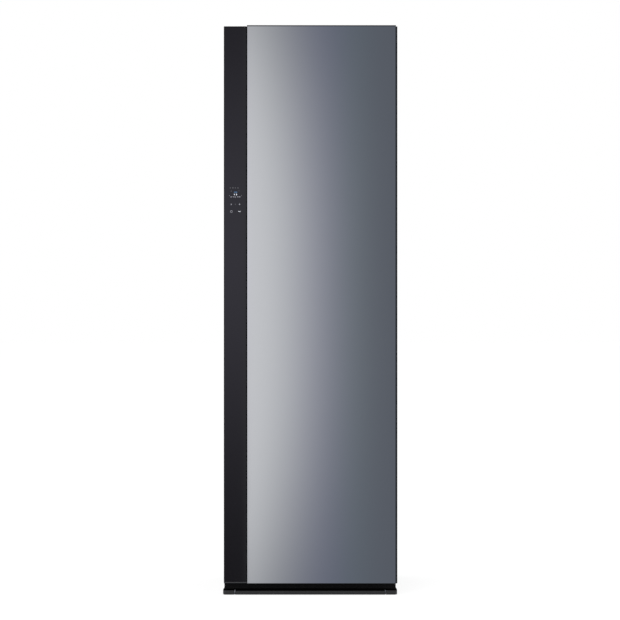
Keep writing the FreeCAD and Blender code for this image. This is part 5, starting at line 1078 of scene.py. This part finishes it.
@dataclass
class DoorBody:
    """The casing, its finger grip, the liner and the seal round it.

    Args:
        casing: Easing of the casing.
        rim_gap: Distance from the mirror's side to the casing's thin rim, which stays hard.
        rim_drop: How far that rim reaches down from the mirror's top.
        mouldings: Easings of the grip and the liner.
        seal_outside: Outer side of the seal, as places outwards and over the seal's back.
        seal_magnet: The folded lip with the magnet strip, as places outwards and over the seal's face.
        seal_inside: Inner side of the seal, like the outer one.
        seal_crease: Angle in degrees above which the seal's folds stay hard.
    """

    casing: Easing = Easing("door_casing", 0.8)
    rim_gap: float = 1.0
    rim_drop: float = 5.3
    mouldings: tuple[Easing, ...] = (Easing("door_grip", 0.5), Easing("door_liner", 0.9))
    seal_outside: tuple[tuple[float, float], ...] = ((0.0, 0.0), (0.0, 2.0), (-2.2, 2.6), (-2.6, 4.4))
    seal_magnet: tuple[tuple[float, float], ...] = ((-0.7, -3.6), (-0.5, -0.6), (-1.2, 0.0), (-13.6, 0.0),
                                                    (-14.4, -0.6), (-14.6, -3.4))
    seal_inside: tuple[tuple[float, float], ...] = ((-12.6, 5.0), (-13.4, 3.0), (-16.0, 2.0), (-16.0, 0.0))
    seal_crease: float = 50.0

    def build(self) -> None:
        """Make the door's body."""
        mirror = span("mirror_glass")[1]
        self.casing.build(lambda middle: (middle.x > mirror.x + self.rim_gap
                                          and middle.z > mirror.z - self.rim_drop))
        ease_all(self.mouldings)
        self.seal()

    def seal(self) -> None:
        """The seal: a foot, a folded bellows and the flat magnet strip, mitred at the corners."""
        low, high = span("door_gasket")
        outline = [(out, low.y + rise) for out, rise in self.seal_outside]
        outline += [(out, high.y + rise) for out, rise in self.seal_magnet]
        outline += [(out, low.y + rise) for out, rise in self.seal_inside]
        bm = bmesh.new()
        verts = [bm.verts.new((high.x + out, y, high.z + out)) for out, y in outline]
        loop = [bm.edges.new(pair) for pair in zip(verts, verts[1:] + verts[:1])]
        middle = (low + high) / 2
        for turn in range(4):
            grown = bmesh.ops.extrude_edge_only(bm, edges=loop)["geom"]
            moved = [item for item in grown if isinstance(item, bmesh.types.BMVert)]
            loop = [item for item in grown if isinstance(item, Edge) and len(item.link_faces) == 1]
            flip = (-1.0, 1.0, 1.0) if turn % 2 == 0 else (1.0, 1.0, -1.0)
            bmesh.ops.scale(bm, vec=flip, verts=moved, space=Matrix.Translation(-middle))
        bmesh.ops.remove_doubles(bm, verts=bm.verts, dist=WELD)
        bmesh.ops.recalc_face_normals(bm, faces=bm.faces)
        finished("door_seal", bm, Body.DOOR, (SEAL,), ("door_gasket",), self.seal_crease)


# ------------------------------------------------------------------------------ trouser press

@dataclass(frozen=True)
class Filling:
    """How the pad's cover is blown up by its filling.

    Args:
        held_depth: Thickness of the cover's back that is held on the board, in millimetres.
        swell: Most that a point of the cover may move, in millimetres.
        quality: Steps of the cloth in a frame.
        pressure: Pressure of the filling.
        tension: Stiffness of the cloth against stretching.
        bending: Stiffness of the cloth against folding.
        frames: Frames that it takes.
    """

    held_depth: float = 1.5
    swell: float = 3.0
    quality: int = 6
    pressure: float = 4.0
    tension: float = 12.0
    bending: float = 0.4
    frames: int = 20

    def blow(self, cover: bpy.types.Object) -> None:
        """Blow a cover up, its back held flat on the board.

        Args:
            cover: The working object.
        """
        rest = [vertex.co.copy() for vertex in cover.data.vertices]
        held_below = (span("press_pad")[0].y + self.held_depth) * MM
        held = cover.vertex_groups.new(name="held")
        held.add([index for index, co in enumerate(rest) if co.y < held_below], 1.0, "REPLACE")
        cloth = cover.modifiers.new("filling", "CLOTH")
        cloth.settings.quality = self.quality
        cloth.settings.use_pressure = True
        cloth.settings.uniform_pressure_force = self.pressure
        cloth.settings.effector_weights.gravity = 0.0
        cloth.settings.vertex_group_mass = "held"
        cloth.settings.tension_stiffness = self.tension
        cloth.settings.bending_stiffness = self.bending
        scene = bpy.context.scene
        for number in range(1, self.frames + 1):
            scene.frame_set(number)
        settle(cover)
        scene.frame_set(1)
        for vertex, start in zip(cover.data.vertices, rest):
            move = vertex.co - start
            if move.length > self.swell * MM:
                vertex.co = start + move.normalized() * self.swell * MM


def settle(piece: bpy.types.Object) -> None:
    """Put a piece's modifiers into its mesh.

    Args:
        piece: The working object.
    """
    graph = bpy.context.evaluated_depsgraph_get()
    graph.update()
    shape = bpy.data.meshes.new_from_object(piece.evaluated_get(graph))
    piece.modifiers.clear()
    piece.data = shape


@dataclass
class TrouserPress:
    """The padded board in the door, the plate that closes on it, its latch and the trouser rail.

    Args:
        inset: Gap between the cover's edge and the edge of the pad's place.
        back_gap: Room behind the cover.
        start_gap: Room in front of the unfilled cover that the filling takes up.
        cover_corner: Radius of the cover's corners.
        cover_rim: Radius of the cover's rim.
        cell: Size of the cover's cells before they are divided.
        filling: How the cover is filled.
        seam_inset: Distance of the sewn seam from the pad's edge.
        seam_depth: How far the seam pulls the cover in.
        seam_reach: How far from its line the seam pulls.
        stitch_pitch: Distance from stitch to stitch.
        stitch_length: Visible length of a stitch.
        stitch_radius: Radius of the thread.
        stitch_lift: How far the thread's middle lies over the cover.
        stitch_sides: Flats round the thread.
        probe_start: Y in front of the pad from which the cover's level is felt.
        piping_radius: Radius of the piping round the pad.
        piping_corner: Radius of its path's corners.
        piping_steps: Steps round a corner of the path.
        piping_gap: Room behind the piping.
        piping_resolution: Blender's number for the flats round the piping.
        soft_crease: Angle in degrees above which a soft piece's edges stay hard.
        mouldings: Easings of the plate, the latch and the rail.
    """

    inset: float = 4.0
    back_gap: float = 0.1
    start_gap: float = 1.6
    cover_corner: float = 12.0
    cover_rim: float = 2.5
    cell: float = 5.0
    filling: Filling = Filling()
    seam_inset: float = 22.0
    seam_depth: float = 1.7
    seam_reach: float = 2.6
    stitch_pitch: float = 7.0
    stitch_length: float = 4.2
    stitch_radius: float = 0.45
    stitch_lift: float = 0.1
    stitch_sides: int = 6
    probe_start: float = 100.0
    piping_radius: float = 2.0
    piping_corner: float = 14.0
    piping_steps: int = 8
    piping_gap: float = 0.1
    piping_resolution: int = 3
    soft_crease: float = 80.0
    mouldings: tuple[Easing, ...] = (Easing("press_plate", 0.8, 3), Easing("press_latch", 0.6),
                                     Easing("trouser_holder", 0.8))

    def build(self) -> None:
        """Make the press."""
        pad = self.pad()
        self.stitches(pad)
        self.piping()
        ease_all(self.mouldings)

    def cover(self) -> bpy.types.Object:
        """The cover before it is filled, made of even cells.

        Returns:
            A working object, in metres.
        """
        low, high = span("press_pad")
        bm = slab((low.x + self.inset, low.y + self.back_gap, low.z + self.inset),
                  (high.x - self.inset, high.y - self.start_gap, high.z - self.inset),
                  Axis.Y, self.cover_corner, self.cover_rim)
        bmesh.ops.scale(bm, vec=(MM, MM, MM), verts=bm.verts)
        mesh = bpy.data.meshes.new("pad_cover")
        bm.to_mesh(mesh)
        bm.free()
        cover = bpy.data.objects.new("pad_cover", mesh)
        bpy.context.scene.collection.objects.link(cover)
        cells = cover.modifiers.new("cells", "REMESH")
        cells.mode = "VOXEL"
        cells.voxel_size = self.cell * MM
        settle(cover)
        return cover

    def pad(self) -> bpy.types.Object:
        """The padded board: its filled cover with the sewn seam round it.

        Returns:
            The pad.
        """
        cover = self.cover()
        self.filling.blow(cover)
        bm = bmesh.new()
        bm.from_mesh(cover.data)
        bpy.data.objects.remove(cover)
        bmesh.ops.subdivide_edges(bm, edges=bm.edges[:], cuts=1, use_grid_fill=True, smooth=0.0)
        bmesh.ops.smooth_vert(bm, verts=bm.verts, factor=0.5, use_axis_x=True, use_axis_y=True,
                              use_axis_z=True)
        bmesh.ops.scale(bm, vec=(1.0 / MM, 1.0 / MM, 1.0 / MM), verts=bm.verts)
        low, high = span("press_pad")
        middle = (low.y + high.y) / 2
        for vertex in bm.verts:
            if vertex.co.y > middle:
                off = self.from_seam(vertex.co.x, vertex.co.z)
                vertex.co.y -= self.seam_depth * math.exp(-(off / self.seam_reach) ** 2)
        bmesh.ops.recalc_face_normals(bm, faces=bm.faces)
        pad = finished("padded_board", bm, Body.DOOR, (PAD,), ("press_pad",), self.soft_crease)
        return pad

    def seam_box(self) -> tuple[float, float, float, float]:
        """The seam's line.

        Returns:
            Its left, right, bottom and top.
        """
        low, high = span("press_pad")
        return (low.x + self.seam_inset, high.x - self.seam_inset,
                low.z + self.seam_inset, high.z - self.seam_inset)

    def from_seam(self, x: float, z: float) -> float:
        """Distance of a place on the pad from the seam's line.

        Args:
            x: The place.
            z: The place.

        Returns:
            The distance.
        """
        left, right, bottom, top = self.seam_box()
        half = Vector(((right - left) / 2, (top - bottom) / 2))
        off = Vector((abs(x - (left + right) / 2), abs(z - (bottom + top) / 2))) - half
        if off.x > 0.0 and off.y > 0.0:
            return off.length
        return abs(max(off.x, off.y))

    def stitches(self, pad: bpy.types.Object) -> None:
        """The seam's stitches, each laid on the cover.

        Args:
            pad: The pad that carries them.
        """
        left, right, bottom, top = self.seam_box()
        corners = [Vector(corner) for corner in ((left, bottom), (right, bottom), (right, top), (left, top))]
        parts: list[Mesh] = []
        for start, end in zip(corners, corners[1:] + corners[:1]):
            count = round((end - start).length / self.stitch_pitch)
            axis = Axis.X if start.y == end.y else Axis.Z
            for index in range(count):
                place = start.lerp(end, (index + 0.5) / count)
                level = self.level_at(pad, place.x, place.y) + self.stitch_lift
                parts.append(drum(self.stitch_radius, self.stitch_length, axis, (place.x, level, place.y),
                                  self.stitch_sides))
        finished("pad_stitches", joined(parts), Body.DOOR, (PIPING,))

    def level_at(self, pad: bpy.types.Object, x: float, z: float) -> float:
        """How far the pad's cover stands at a place, in millimetres.

        Args:
            pad: The pad.
            x: The place.
            z: The place.

        Returns:
            The Y of the cover there.
        """
        start = Vector((x, self.probe_start, z)) * MM
        hit, place, _, _ = pad.ray_cast(start, Vector((0.0, -1.0, 0.0)))
        return place.y / MM if hit else span("press_pad")[1].y

    def piping_path(self) -> list[Vector]:
        """Places along the middle of the piping: a rectangle with round corners.

        Returns:
            The places.
        """
        low, high = span("press_pad")
        room = self.piping_radius + self.piping_corner
        level = low.y + self.piping_radius + self.piping_gap
        places: list[Vector] = []
        for quarter, (x, z) in enumerate(((high.x - room, high.z - room), (low.x + room, high.z - room),
                                          (low.x + room, low.z + room), (high.x - room, low.z + room))):
            for step in range(self.piping_steps + 1):
                angle = (quarter + step / self.piping_steps) * math.pi / 2
                places.append(Vector((x + self.piping_corner * math.cos(angle), level,
                                      z + self.piping_corner * math.sin(angle))))
        return places

    def piping(self) -> None:
        """A covered cord round the foot of the pad."""
        path = bpy.data.curves.new("piping_path", "CURVE")
        path.dimensions = "3D"
        places = self.piping_path()
        spline = path.splines.new("POLY")
        spline.points.add(len(places) - 1)
        for point, place in zip(spline.points, places):
            point.co = (*(place * MM), 1.0)
        spline.use_cyclic_u = True
        path.bevel_depth = self.piping_radius * MM
        path.bevel_resolution = self.piping_resolution
        holder = bpy.data.objects.new("piping_path", path)
        bpy.context.scene.collection.objects.link(holder)
        shape = bpy.data.meshes.new_from_object(holder)
        bpy.data.objects.remove(holder)
        cord = bmesh.new()
        cord.from_mesh(shape)
        bmesh.ops.remove_doubles(cord, verts=cord.verts, dist=WELD * MM)
        finished("pad_piping", cord, Body.DOOR, (PIPING,), crease=self.soft_crease, unit=1.0)


# ------------------------------------------------------------------------------ shell

@dataclass
class Shell:
    """The outside sheets of the cabinet and what is fixed to them.

    Args:
        sheets: Easings of the painted and the plated sheets.
        hinge_cover: Easing of the cover over the hinge.
        cover_foot: Height of the hinge cover's thin foot, which stays hard.
        fittings: Easings of the inlet, the wall spacers and the screws.
    """

    sheets: tuple[Easing, ...] = (Easing("side_panels", 0.5), Easing("top_cover", 0.5),
                                  Easing("front_frame", 0.5), Easing("rear_cover", 0.25),
                                  Easing("hinge_brackets", 0.25))
    hinge_cover: Easing = Easing("hinge_cover", 0.6, 3)
    cover_foot: float = 1.0
    fittings: tuple[Easing, ...] = (Easing("power_inlet", 0.5), Easing("rear_spacers", 0.8),
                                    Easing("panel_screws", 0.15))

    def build(self) -> None:
        """Make the shell."""
        ease_all(self.sheets)
        foot_top = span("hinge_cover")[0].z + self.cover_foot
        self.hinge_cover.build(lambda middle: middle.z < foot_top)
        ease_all(self.fittings)


# ------------------------------------------------------------------------------ garment space

@dataclass
class GarmentSpace:
    """The moulded tub with its shelf, grille and lamp, and the moving hanger under its ceiling.

    Args:
        mouldings: Easings of the tub, the shelf, the grille and the lamp's lens.
        hanger: Easings of the moving hanger and its drive.
    """

    mouldings: tuple[Easing, ...] = (Easing("tub", 0.8), Easing("shelf", 0.8),
                                     Easing("air_outlet_grille", 0.4), Easing("interior_lamp", 0.8, 3))
    hanger: tuple[Easing, ...] = (Easing("hanger_bar", 0.75, 3), Easing("bar_carrier", 0.4),
                                  Easing("crank_wheel", 0.4), Easing("motor_pulley", 0.4),
                                  Easing("drive_motor", 0.6), Easing("drive_frame", 0.4),
                                  Easing("control_board", 0.8))

    def build(self) -> None:
        """Make the garment space."""
        ease_all(self.mouldings)
        ease_all(self.hanger)


# ------------------------------------------------------------------------------ lower front

@dataclass
class LowerFront:
    """The moulded lower front with its two tanks and the lint filter.

    Args:
        housing: Easing of the housing.
        tanks: Easings of the tanks, whose walls are thin.
        fittings: Easings of the tanks' caps and the lint filter.
        front_back: Y of the back of the drawers' front panels.
        screen_level: Level of the filter's screen, as a share of the filter's height.
        screen_side: Distance of the screen from the filter's sides.
        screen_end: Distance of the screen from the filter's front panel and back.
        screen_pitch: Distance from wire to wire of the screen.
        screen_wire: Thickness of its wires.
        wire_gap: Gap between the wires that cross.
    """

    housing: Easing = Easing("module_housing", 0.7)
    tanks: tuple[Easing, ...] = (Easing("water_tank", 0.4), Easing("drain_tank", 0.4))
    fittings: tuple[Easing, ...] = (Easing("water_tank_cap", 0.5), Easing("drain_tank_cap", 0.5),
                                    Easing("lint_filter", 0.5))
    front_back: float = -164.9
    screen_level: float = 0.62
    screen_side: float = 6.0
    screen_end: float = 4.0
    screen_pitch: float = 2.5
    screen_wire: float = 0.35
    wire_gap: float = 0.02

    def build(self) -> None:
        """Make the lower front."""
        self.housing.build()
        for tank in self.tanks:
            self.drawer(tank)
        ease_all(self.fittings)
        self.screen()

    def drawer(self, tank: Easing) -> None:
        """A tank: an opaque front panel and the clear vessel behind it.

        Args:
            tank: Easing of the tank.
        """
        bm = tank.mesh()
        paint(bm, 1, lambda face: face.calc_center_median().y > self.front_back)
        tank.put(bm, (GREY_PLASTIC, TANK))

    def screen(self) -> None:
        """The fine screen that lies on the filter's ribs: wires to the back, and others over them."""
        low, high = span("lint_filter")
        level = low.z + (high.z - low.z) * self.screen_level
        left, right = low.x + self.screen_side, high.x - self.screen_side
        front, back = self.front_back + self.screen_end, high.y - self.screen_end
        half = self.screen_wire / 2
        upper, top = level + half + self.wire_gap, level + half + self.screen_wire
        parts: list[Mesh] = []
        for index in range(int((right - left) / self.screen_pitch) + 1):
            x = left + index * self.screen_pitch
            parts.append(block((x - half, front, level - half), (x + half, back, level + half)))
        for index in range(int((back - front) / self.screen_pitch) + 1):
            y = front + index * self.screen_pitch
            parts.append(block((left, y - half, upper), (right, y + half, top)))
        finished("filter_screen", joined(parts), Body.LINT_FILTER, (STEEL,))


# ------------------------------------------------------------------------------ machine room

@dataclass
class MachineRoom:
    """The machines under the garment space.

    Args:
        can_radius: Radius of the compressor's can.
        weld_wire: Radius of the compressor's weld bead.
        weld_sink: How deep the bead's middle lies in the can.
        weld_rise: Height of the bead over the compressor's middle.
        weld_turns: Steps round the bead.
        weld_sides: Flats round it.
        machines: Easings of the grommets, blower, steam generator and pumps.
        tube_end: Length of the coils' bare tube ends.
    """

    can_radius: float = 58.0
    weld_wire: float = 1.3
    weld_sink: float = 0.4
    weld_rise: float = 30.0
    weld_turns: int = 72
    weld_sides: int = 8
    machines: tuple[Easing, ...] = (Easing("compressor_mounts", 0.5), Easing("blower_housing", 0.5),
                                    Easing("blower_wheel", 0.2), Easing("blower_motor", 0.5),
                                    Easing("steam_generator", 1.2, 3), Easing("pumps", 0.5))
    tube_end: float = 3.0

    def build(self) -> None:
        """Make the machine room."""
        finished("compressor_finished", node_copy("compressor"), Body.CABINET, (ENAMEL,), ("compressor",))
        self.weld()
        ease_all(self.machines)
        self.coils()

    def weld(self) -> None:
        """The bead where the compressor's two half shells are welded, midway between its grommets."""
        low, high = span("compressor_mounts")
        bottom, top = span("compressor")
        middle = ((low.x + high.x) / 2, (low.y + high.y) / 2, (bottom.z + top.z) / 2 + self.weld_rise)
        bm = ring(self.can_radius - self.weld_sink, self.weld_wire, Axis.Z, middle, self.weld_turns,
                  self.weld_sides)
        finished("compressor_weld", bm, Body.CABINET, (ENAMEL,))

    def coils(self) -> None:
        """The two finned coils, their tube ends bare copper."""
        bm = node_copy("heat_exchangers")
        low, high = span("heat_exchangers")
        left, right = low.x + self.tube_end, high.x - self.tube_end
        paint(bm, 1, lambda face: not left < face.calc_center_median().x < right)
        finished("finned_coils", bm, Body.CABINET, (FINS, COPPER), ("heat_exchangers",))


# ------------------------------------------------------------------------------ base

@dataclass
class Base:
    """The kick cover under the door, its end caps and the feet.

    Args:
        cover: Easing of the kick cover.
        rail_top: Height up to which the kick cover is the rail in its own grained colour; above it the
            colour is painted shade.
        caps: Easing of its end caps.
        cap_top: Height up to which the caps keep that colour; above it the colour is painted shade.
        cap_shoulder: Distance from there up to the caps' thin upper wall, which stays hard.
        cap_back: Thickness of the caps' thin back, which stays hard too.
        shadow_band_top: Height up to which the band of painted black shadow over the rail reaches.
        feet: Easings of the base pan and the feet.
    """

    cover: Easing = Easing("front_base_cover", 0.3)
    rail_top: float = 14.2
    caps: Easing = Easing("base_caps", 0.5)
    cap_top: float = 15.6
    cap_shoulder: float = 0.9
    cap_back: float = 0.8
    shadow_band_top: float = 20.9
    feet: tuple[Easing, ...] = (Easing("base_frame", 0.4), Easing("front_foot_left", 0.4),
                                Easing("front_foot_right", 0.4), Easing("rear_feet", 0.8, 3))

    def build(self) -> None:
        """Make the base's front pieces and the feet."""
        self.shaded_bands(self.cover, self.rail_top, nowhere)
        back = span("base_caps")[1].y - self.cap_back
        shoulder = self.cap_top + self.cap_shoulder
        self.shaded_bands(self.caps, self.cap_top, lambda middle: middle.z > shoulder or middle.y > back)
        ease_all(self.feet)

    def shaded_bands(self, moulding: Easing, top: float, leave: Callable[[Vector], bool]) -> None:
        """A kick moulding with its grained front, then a band of painted black shadow, and painted shade on
        the dull upper part.

        Args:
            moulding: Easing of the moulding.
            top: Height up to which it keeps its own grained colour.
            leave: Tells of an edge's middle whether the edge stays hard.
        """
        bm = moulding.mesh(leave)
        # Painted shade: above top a black band of painted shadow, and above that the darker painted shade of
        # the part under the door.
        for index, level in enumerate((top, self.shadow_band_top), start=1):
            bmesh.ops.bisect_plane(bm, geom=bm.verts[:] + bm.edges[:] + bm.faces[:], dist=SAME_LEVEL,
                                   plane_co=(0.0, 0.0, level), plane_no=(0.0, 0.0, 1.0))
            paint(bm, index, lambda face: face.calc_center_median().z > level)
        moulding.put(bm, (BASE_PLASTIC, SHADOW_BAND_PLASTIC, KICK_SHADE_PLASTIC))


# ------------------------------------------------------------------------------ studio

@dataclass(frozen=True)
class CardGlow:
    """Shape of the card's light, as the door's face shows it.

    Args:
        middle: Height of the glow's middle over the camera, in metres.
        half_height: Half of the face's height, in metres.
        strength: Light at the middle of the lobe.
        width: Width of the lobe as a share of the mirror's.
        bend: How far the lobe leaves to the left at the face's top and bottom.
        bend_power: How suddenly it leaves there.
        widening: How much wider it gets there.
        strip_middle: Level of the strip's brightest place.
        strip_reach: How far the strip's glow reaches up and down.
    """

    middle: float = 0.035
    half_height: float = 0.9632
    strength: float = 0.603
    width: float = 0.489
    bend: float = 0.368
    bend_power: float = 2.56
    widening: float = 0.19
    strip_middle: float = 0.191
    strip_reach: float = 0.753


@dataclass(frozen=True)
class CardChannel:
    """One colour channel of the card's light.

    Args:
        name: The channel.
        base: Light all over the card.
        strip_base: Light in front of the control strip, over the base.
        strip_glow: Strength of the glow in front of the control strip.
        cast: Extra light of this colour on the mirror.
        cast_place: Where the extra light is strongest, as a share of the mirror's width.
        cast_spread: How wide the extra light is.
    """

    name: str
    base: float
    strip_base: float
    strip_glow: float
    cast: float = 0.0
    cast_place: float = 0.0
    cast_spread: float = 1.0


CARD_GLOW = CardGlow()
CARD_CHANNELS = (CardChannel("Red", 0.122, 0.015, 0.66),
                 CardChannel("Green", 0.137, -0.010, 0.637, 0.0087, 0.72, 0.14),
                 CardChannel("Blue", 0.165, -0.020, 0.80, 0.0295, 0.521, 0.28))


@dataclass(frozen=True)
class Lamp:
    """One square lamp that lights the cabinet's middle.

    Args:
        name: Its name.
        place: Where it stands, in metres.
        size: Length of its side in metres.
        power: Its power in watts.
    """

    name: str
    place: Point
    size: float
    power: float


LAMPS = (Lamp("lamp_front", (-1.2, -6.0, 4.2), 3.0, 130.0),
         Lamp("lamp_left", (-4.5, -1.0, 2.6), 2.4, 45.0),
         Lamp("lamp_right", (4.5, -1.0, 2.6), 2.4, 45.0))


@dataclass
class Studio:
    """Camera, floor, lamps and the big soft card that the mirror shows.

    Args:
        distance: From the camera to the door's face, in metres.
        height: Of the camera over the floor.
        side: How far the camera stands off the cabinet's middle.
        lens: Focal length of the camera in millimetres.
        sensor: Width of its picture in millimetres.
        floor_reach: How far the floor goes each way.
        floor_grey: Brightness of the floor's colour, for the light that it throws back.
        shadow_grey: The same as the camera sees it, which sets how strong the shadow is.
        floor_glow: Light that the floor adds where the camera sees it.
        card_radius: Radius of the curved card round the cabinet.
        card_reach: How far the card goes up and down from the camera's height.
        card_turn: How far it goes round to each side, in degrees.
        card_steps: Facets round it.
        card_edge: Width of the soft step from the strip's part of the card to the mirror's, as a share
            of the mirror's width.
        wide_start: Distance to the side from which the card gets brighter.
        wide_end: Distance to the side at which it is brightest.
        wide_light: Light that it has gained there.
        lamp_aim: Height at which the lamps aim.
        ambient: Light of the surround on the cabinet; the camera and reflections see it as 1.
    """

    distance: float = 8.0
    height: float = 0.9811
    side: float = -0.0003
    lens: float = 135.16
    sensor: float = 36.0
    floor_reach: float = 60.0
    floor_grey: float = 0.8
    shadow_grey: float = 0.3
    floor_glow: float = 0.80
    card_radius: float = 9.3
    card_reach: float = 9.0
    card_turn: float = 100.0
    card_steps: int = 96
    card_edge: float = 0.006
    wide_start: float = 1.4
    wide_end: float = 4.5
    wide_light: float = 0.42
    lamp_aim: float = 0.9
    ambient: float = 0.68

    def build(self) -> None:
        """Set the whole studio up."""
        bpy.context.scene.view_settings.view_transform = "Standard"
        self.camera()
        self.floor()
        self.card()
        self.lamps()
        self.world()

    def camera(self) -> None:
        """A level camera straight in front of the door."""
        data = bpy.data.cameras.new("camera")
        data.lens = self.lens
        data.sensor_width = self.sensor
        eye = bpy.data.objects.new("camera", data)
        face = span("mirror_glass")[0].y * MM
        eye.location = (self.side, face - self.distance, self.height)
        eye.rotation_euler = (math.pi / 2, 0.0, 0.0)
        bpy.context.scene.collection.objects.link(eye)
        bpy.context.scene.camera = eye

    def floor(self) -> None:
        """A plain white floor that keeps a faint shadow."""
        bm = bmesh.new()
        bmesh.ops.create_grid(bm, x_segments=1, y_segments=1, size=self.floor_reach)
        floor = self.stage_piece("studio_floor", bm, self.floor_material())
        floor.visible_glossy = False

    def floor_material(self) -> bpy.types.Material:
        """Dull white for the light; what the camera sees also glows, so that it turns out white.

        Returns:
            The material.
        """
        material, nodes = blank_material("white_floor")
        path = nodes.node("ShaderNodeLightPath")
        dull = nodes.node("ShaderNodeBsdfDiffuse")
        dull.inputs["Color"].default_value = (*(self.floor_grey,) * 3, 1.0)
        seen_dull = nodes.node("ShaderNodeBsdfDiffuse")
        seen_dull.inputs["Color"].default_value = (*(self.shadow_grey,) * 3, 1.0)
        glow = nodes.node("ShaderNodeEmission")
        glow.inputs["Strength"].default_value = self.floor_glow
        seen = nodes.node("ShaderNodeAddShader")
        nodes.link(seen_dull.outputs["BSDF"], seen.inputs[0])
        nodes.link(glow.outputs["Emission"], seen.inputs[1])
        mix = nodes.node("ShaderNodeMixShader")
        watched = nodes.maths("MAXIMUM", path.outputs["Is Camera Ray"], path.outputs["Is Transmission Ray"])
        nodes.link(watched, mix.inputs["Fac"])
        nodes.link(dull.outputs["BSDF"], mix.inputs[1])
        nodes.link(seen.outputs["Shader"], mix.inputs[2])
        nodes.show(mix.outputs["Shader"])
        return material

    def stage_piece(self, name: str, bm: Mesh, material: bpy.types.Material) -> bpy.types.Object:
        """Put a piece of the studio up.

        Args:
            name: Its name.
            bm: Its mesh in metres, which is used up.
            material: Its material.

        Returns:
            The new object.
        """
        mesh = bpy.data.meshes.new(name)
        bm.to_mesh(mesh)
        bm.free()
        mesh.materials.append(material)
        made = bpy.data.objects.new(name, mesh)
        bpy.context.scene.collection.objects.link(made)
        return made

    def card(self) -> None:
        """A curved card that only reflections show, bright on the left and dark on the right."""
        bm = bmesh.new()
        low = bm.verts.new((0.0, -self.card_radius, self.height - self.card_reach))
        high = bm.verts.new((0.0, -self.card_radius, self.height + self.card_reach))
        upright = bm.edges.new((low, high))
        reach = math.radians(self.card_turn)
        bmesh.ops.rotate(bm, cent=(0.0, 0.0, 0.0), matrix=Matrix.Rotation(-reach, 3, "Z"), verts=bm.verts)
        bmesh.ops.spin(bm, geom=[upright, low, high], cent=(0.0, 0.0, 0.0), axis=(0.0, 0.0, 1.0),
                       angle=2.0 * reach, steps=self.card_steps, use_merge=False)
        for face in bm.faces:
            face.smooth = True
        card = self.stage_piece("studio_card", bm, self.card_material())
        card.visible_camera = False
        card.visible_diffuse = False
        card.visible_shadow = False
        card.visible_transmission = False
        card.visible_volume_scatter = False

    def card_material(self) -> bpy.types.Material:
        """The card's light: a soft lobe left of the middle that bends away at top and bottom.

        Returns:
            The material.
        """
        material, nodes = blank_material("studio_card_light")
        glow = CARD_GLOW
        parts = nodes.axes(nodes.place())
        low, high = span("mirror_glass")
        gain = 1.0 + (self.card_radius + low.y * MM) / self.distance
        across = nodes.share(nodes.maths("DIVIDE", parts["X"], gain), low.x * MM, (high.x - low.x) * MM)
        level = nodes.share(nodes.share(parts["Z"], self.height, gain), glow.middle, glow.half_height)
        bend = nodes.maths("POWER", nodes.maths("ABSOLUTE", level), glow.bend_power)
        width = nodes.plus(nodes.times(bend, glow.width * glow.widening), glow.width)
        drift = nodes.maths("DIVIDE", nodes.plus(across, nodes.times(bend, glow.bend)), width)
        lobe = nodes.times(nodes.bell(drift), glow.strength)
        upper = nodes.bell(nodes.share(level, glow.strip_middle, glow.strip_reach))
        on_mirror = nodes.ramp(across, -self.card_edge, 0.0, 1.0)
        off_middle = nodes.maths("ABSOLUTE", parts["X"])
        wide = nodes.ramp(off_middle, self.wide_start, self.wide_end, self.wide_light)
        strength = nodes.node("ShaderNodeCombineColor")
        for channel in CARD_CHANNELS:
            place = nodes.share(across, channel.cast_place, channel.cast_spread)
            mirror = nodes.plus(lobe, nodes.times(nodes.bell(place), channel.cast))
            strip = nodes.plus(nodes.times(upper, channel.strip_glow), channel.strip_base)
            shown = nodes.times(nodes.maths("SUBTRACT", mirror, strip), on_mirror)
            light = nodes.plus(nodes.plus(strip, shown), wide)
            nodes.link(nodes.plus(light, channel.base), strength.inputs[channel.name])
        emission = nodes.node("ShaderNodeEmission")
        emission.inputs["Strength"].default_value = 1.0
        nodes.link(strength.outputs["Color"], emission.inputs["Color"])
        nodes.show(emission.outputs["Emission"])
        return material

    def lamps(self) -> None:
        """One broad lamp over the camera and a weaker one on each side."""
        for lamp in LAMPS:
            data = bpy.data.lights.new(lamp.name, "AREA")
            data.shape = "SQUARE"
            data.size = lamp.size
            data.energy = lamp.power
            light = bpy.data.objects.new(lamp.name, data)
            light.location = lamp.place
            aim = Vector((0.0, 0.0, self.lamp_aim)) - Vector(lamp.place)
            light.rotation_euler = aim.to_track_quat("-Z", "Y").to_euler()
            light.visible_glossy = False
            light.visible_camera = False
            bpy.context.scene.collection.objects.link(light)

    def world(self) -> None:
        """A white surround for the camera and for reflections, and a softer one for the lighting."""
        world = bpy.data.worlds.new("studio")
        world.use_nodes = True
        world.node_tree.nodes.clear()
        nodes = Wiring(world.node_tree)
        path = nodes.node("ShaderNodeLightPath")
        bent = nodes.maths("MAXIMUM", path.outputs["Is Glossy Ray"], path.outputs["Is Transmission Ray"])
        seen = nodes.maths("MAXIMUM", path.outputs["Is Camera Ray"], bent)
        back = nodes.node("ShaderNodeBackground")
        back.inputs["Color"].default_value = (1.0, 1.0, 1.0, 1.0)
        nodes.link(nodes.plus(self.ambient, nodes.times(seen, 1.0 - self.ambient)), back.inputs["Strength"])
        nodes.show(back.outputs["Background"], "ShaderNodeOutputWorld")
        bpy.context.scene.world = world


# ------------------------------------------------------------------------------ whole cabinet

def main() -> None:
    """Build the cabinet's looks and the studio."""
    logging.basicConfig(level=logging.INFO, format="%(name)s: %(message)s")
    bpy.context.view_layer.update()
    dress_nodes()
    for assembly in (DoorFace(), DoorBody(), TrouserPress(), Shell(), GarmentSpace(), LowerFront(),
                     MachineRoom(), Base(), Studio()):
        assembly.build()


if __name__ == "__main__":
    main()
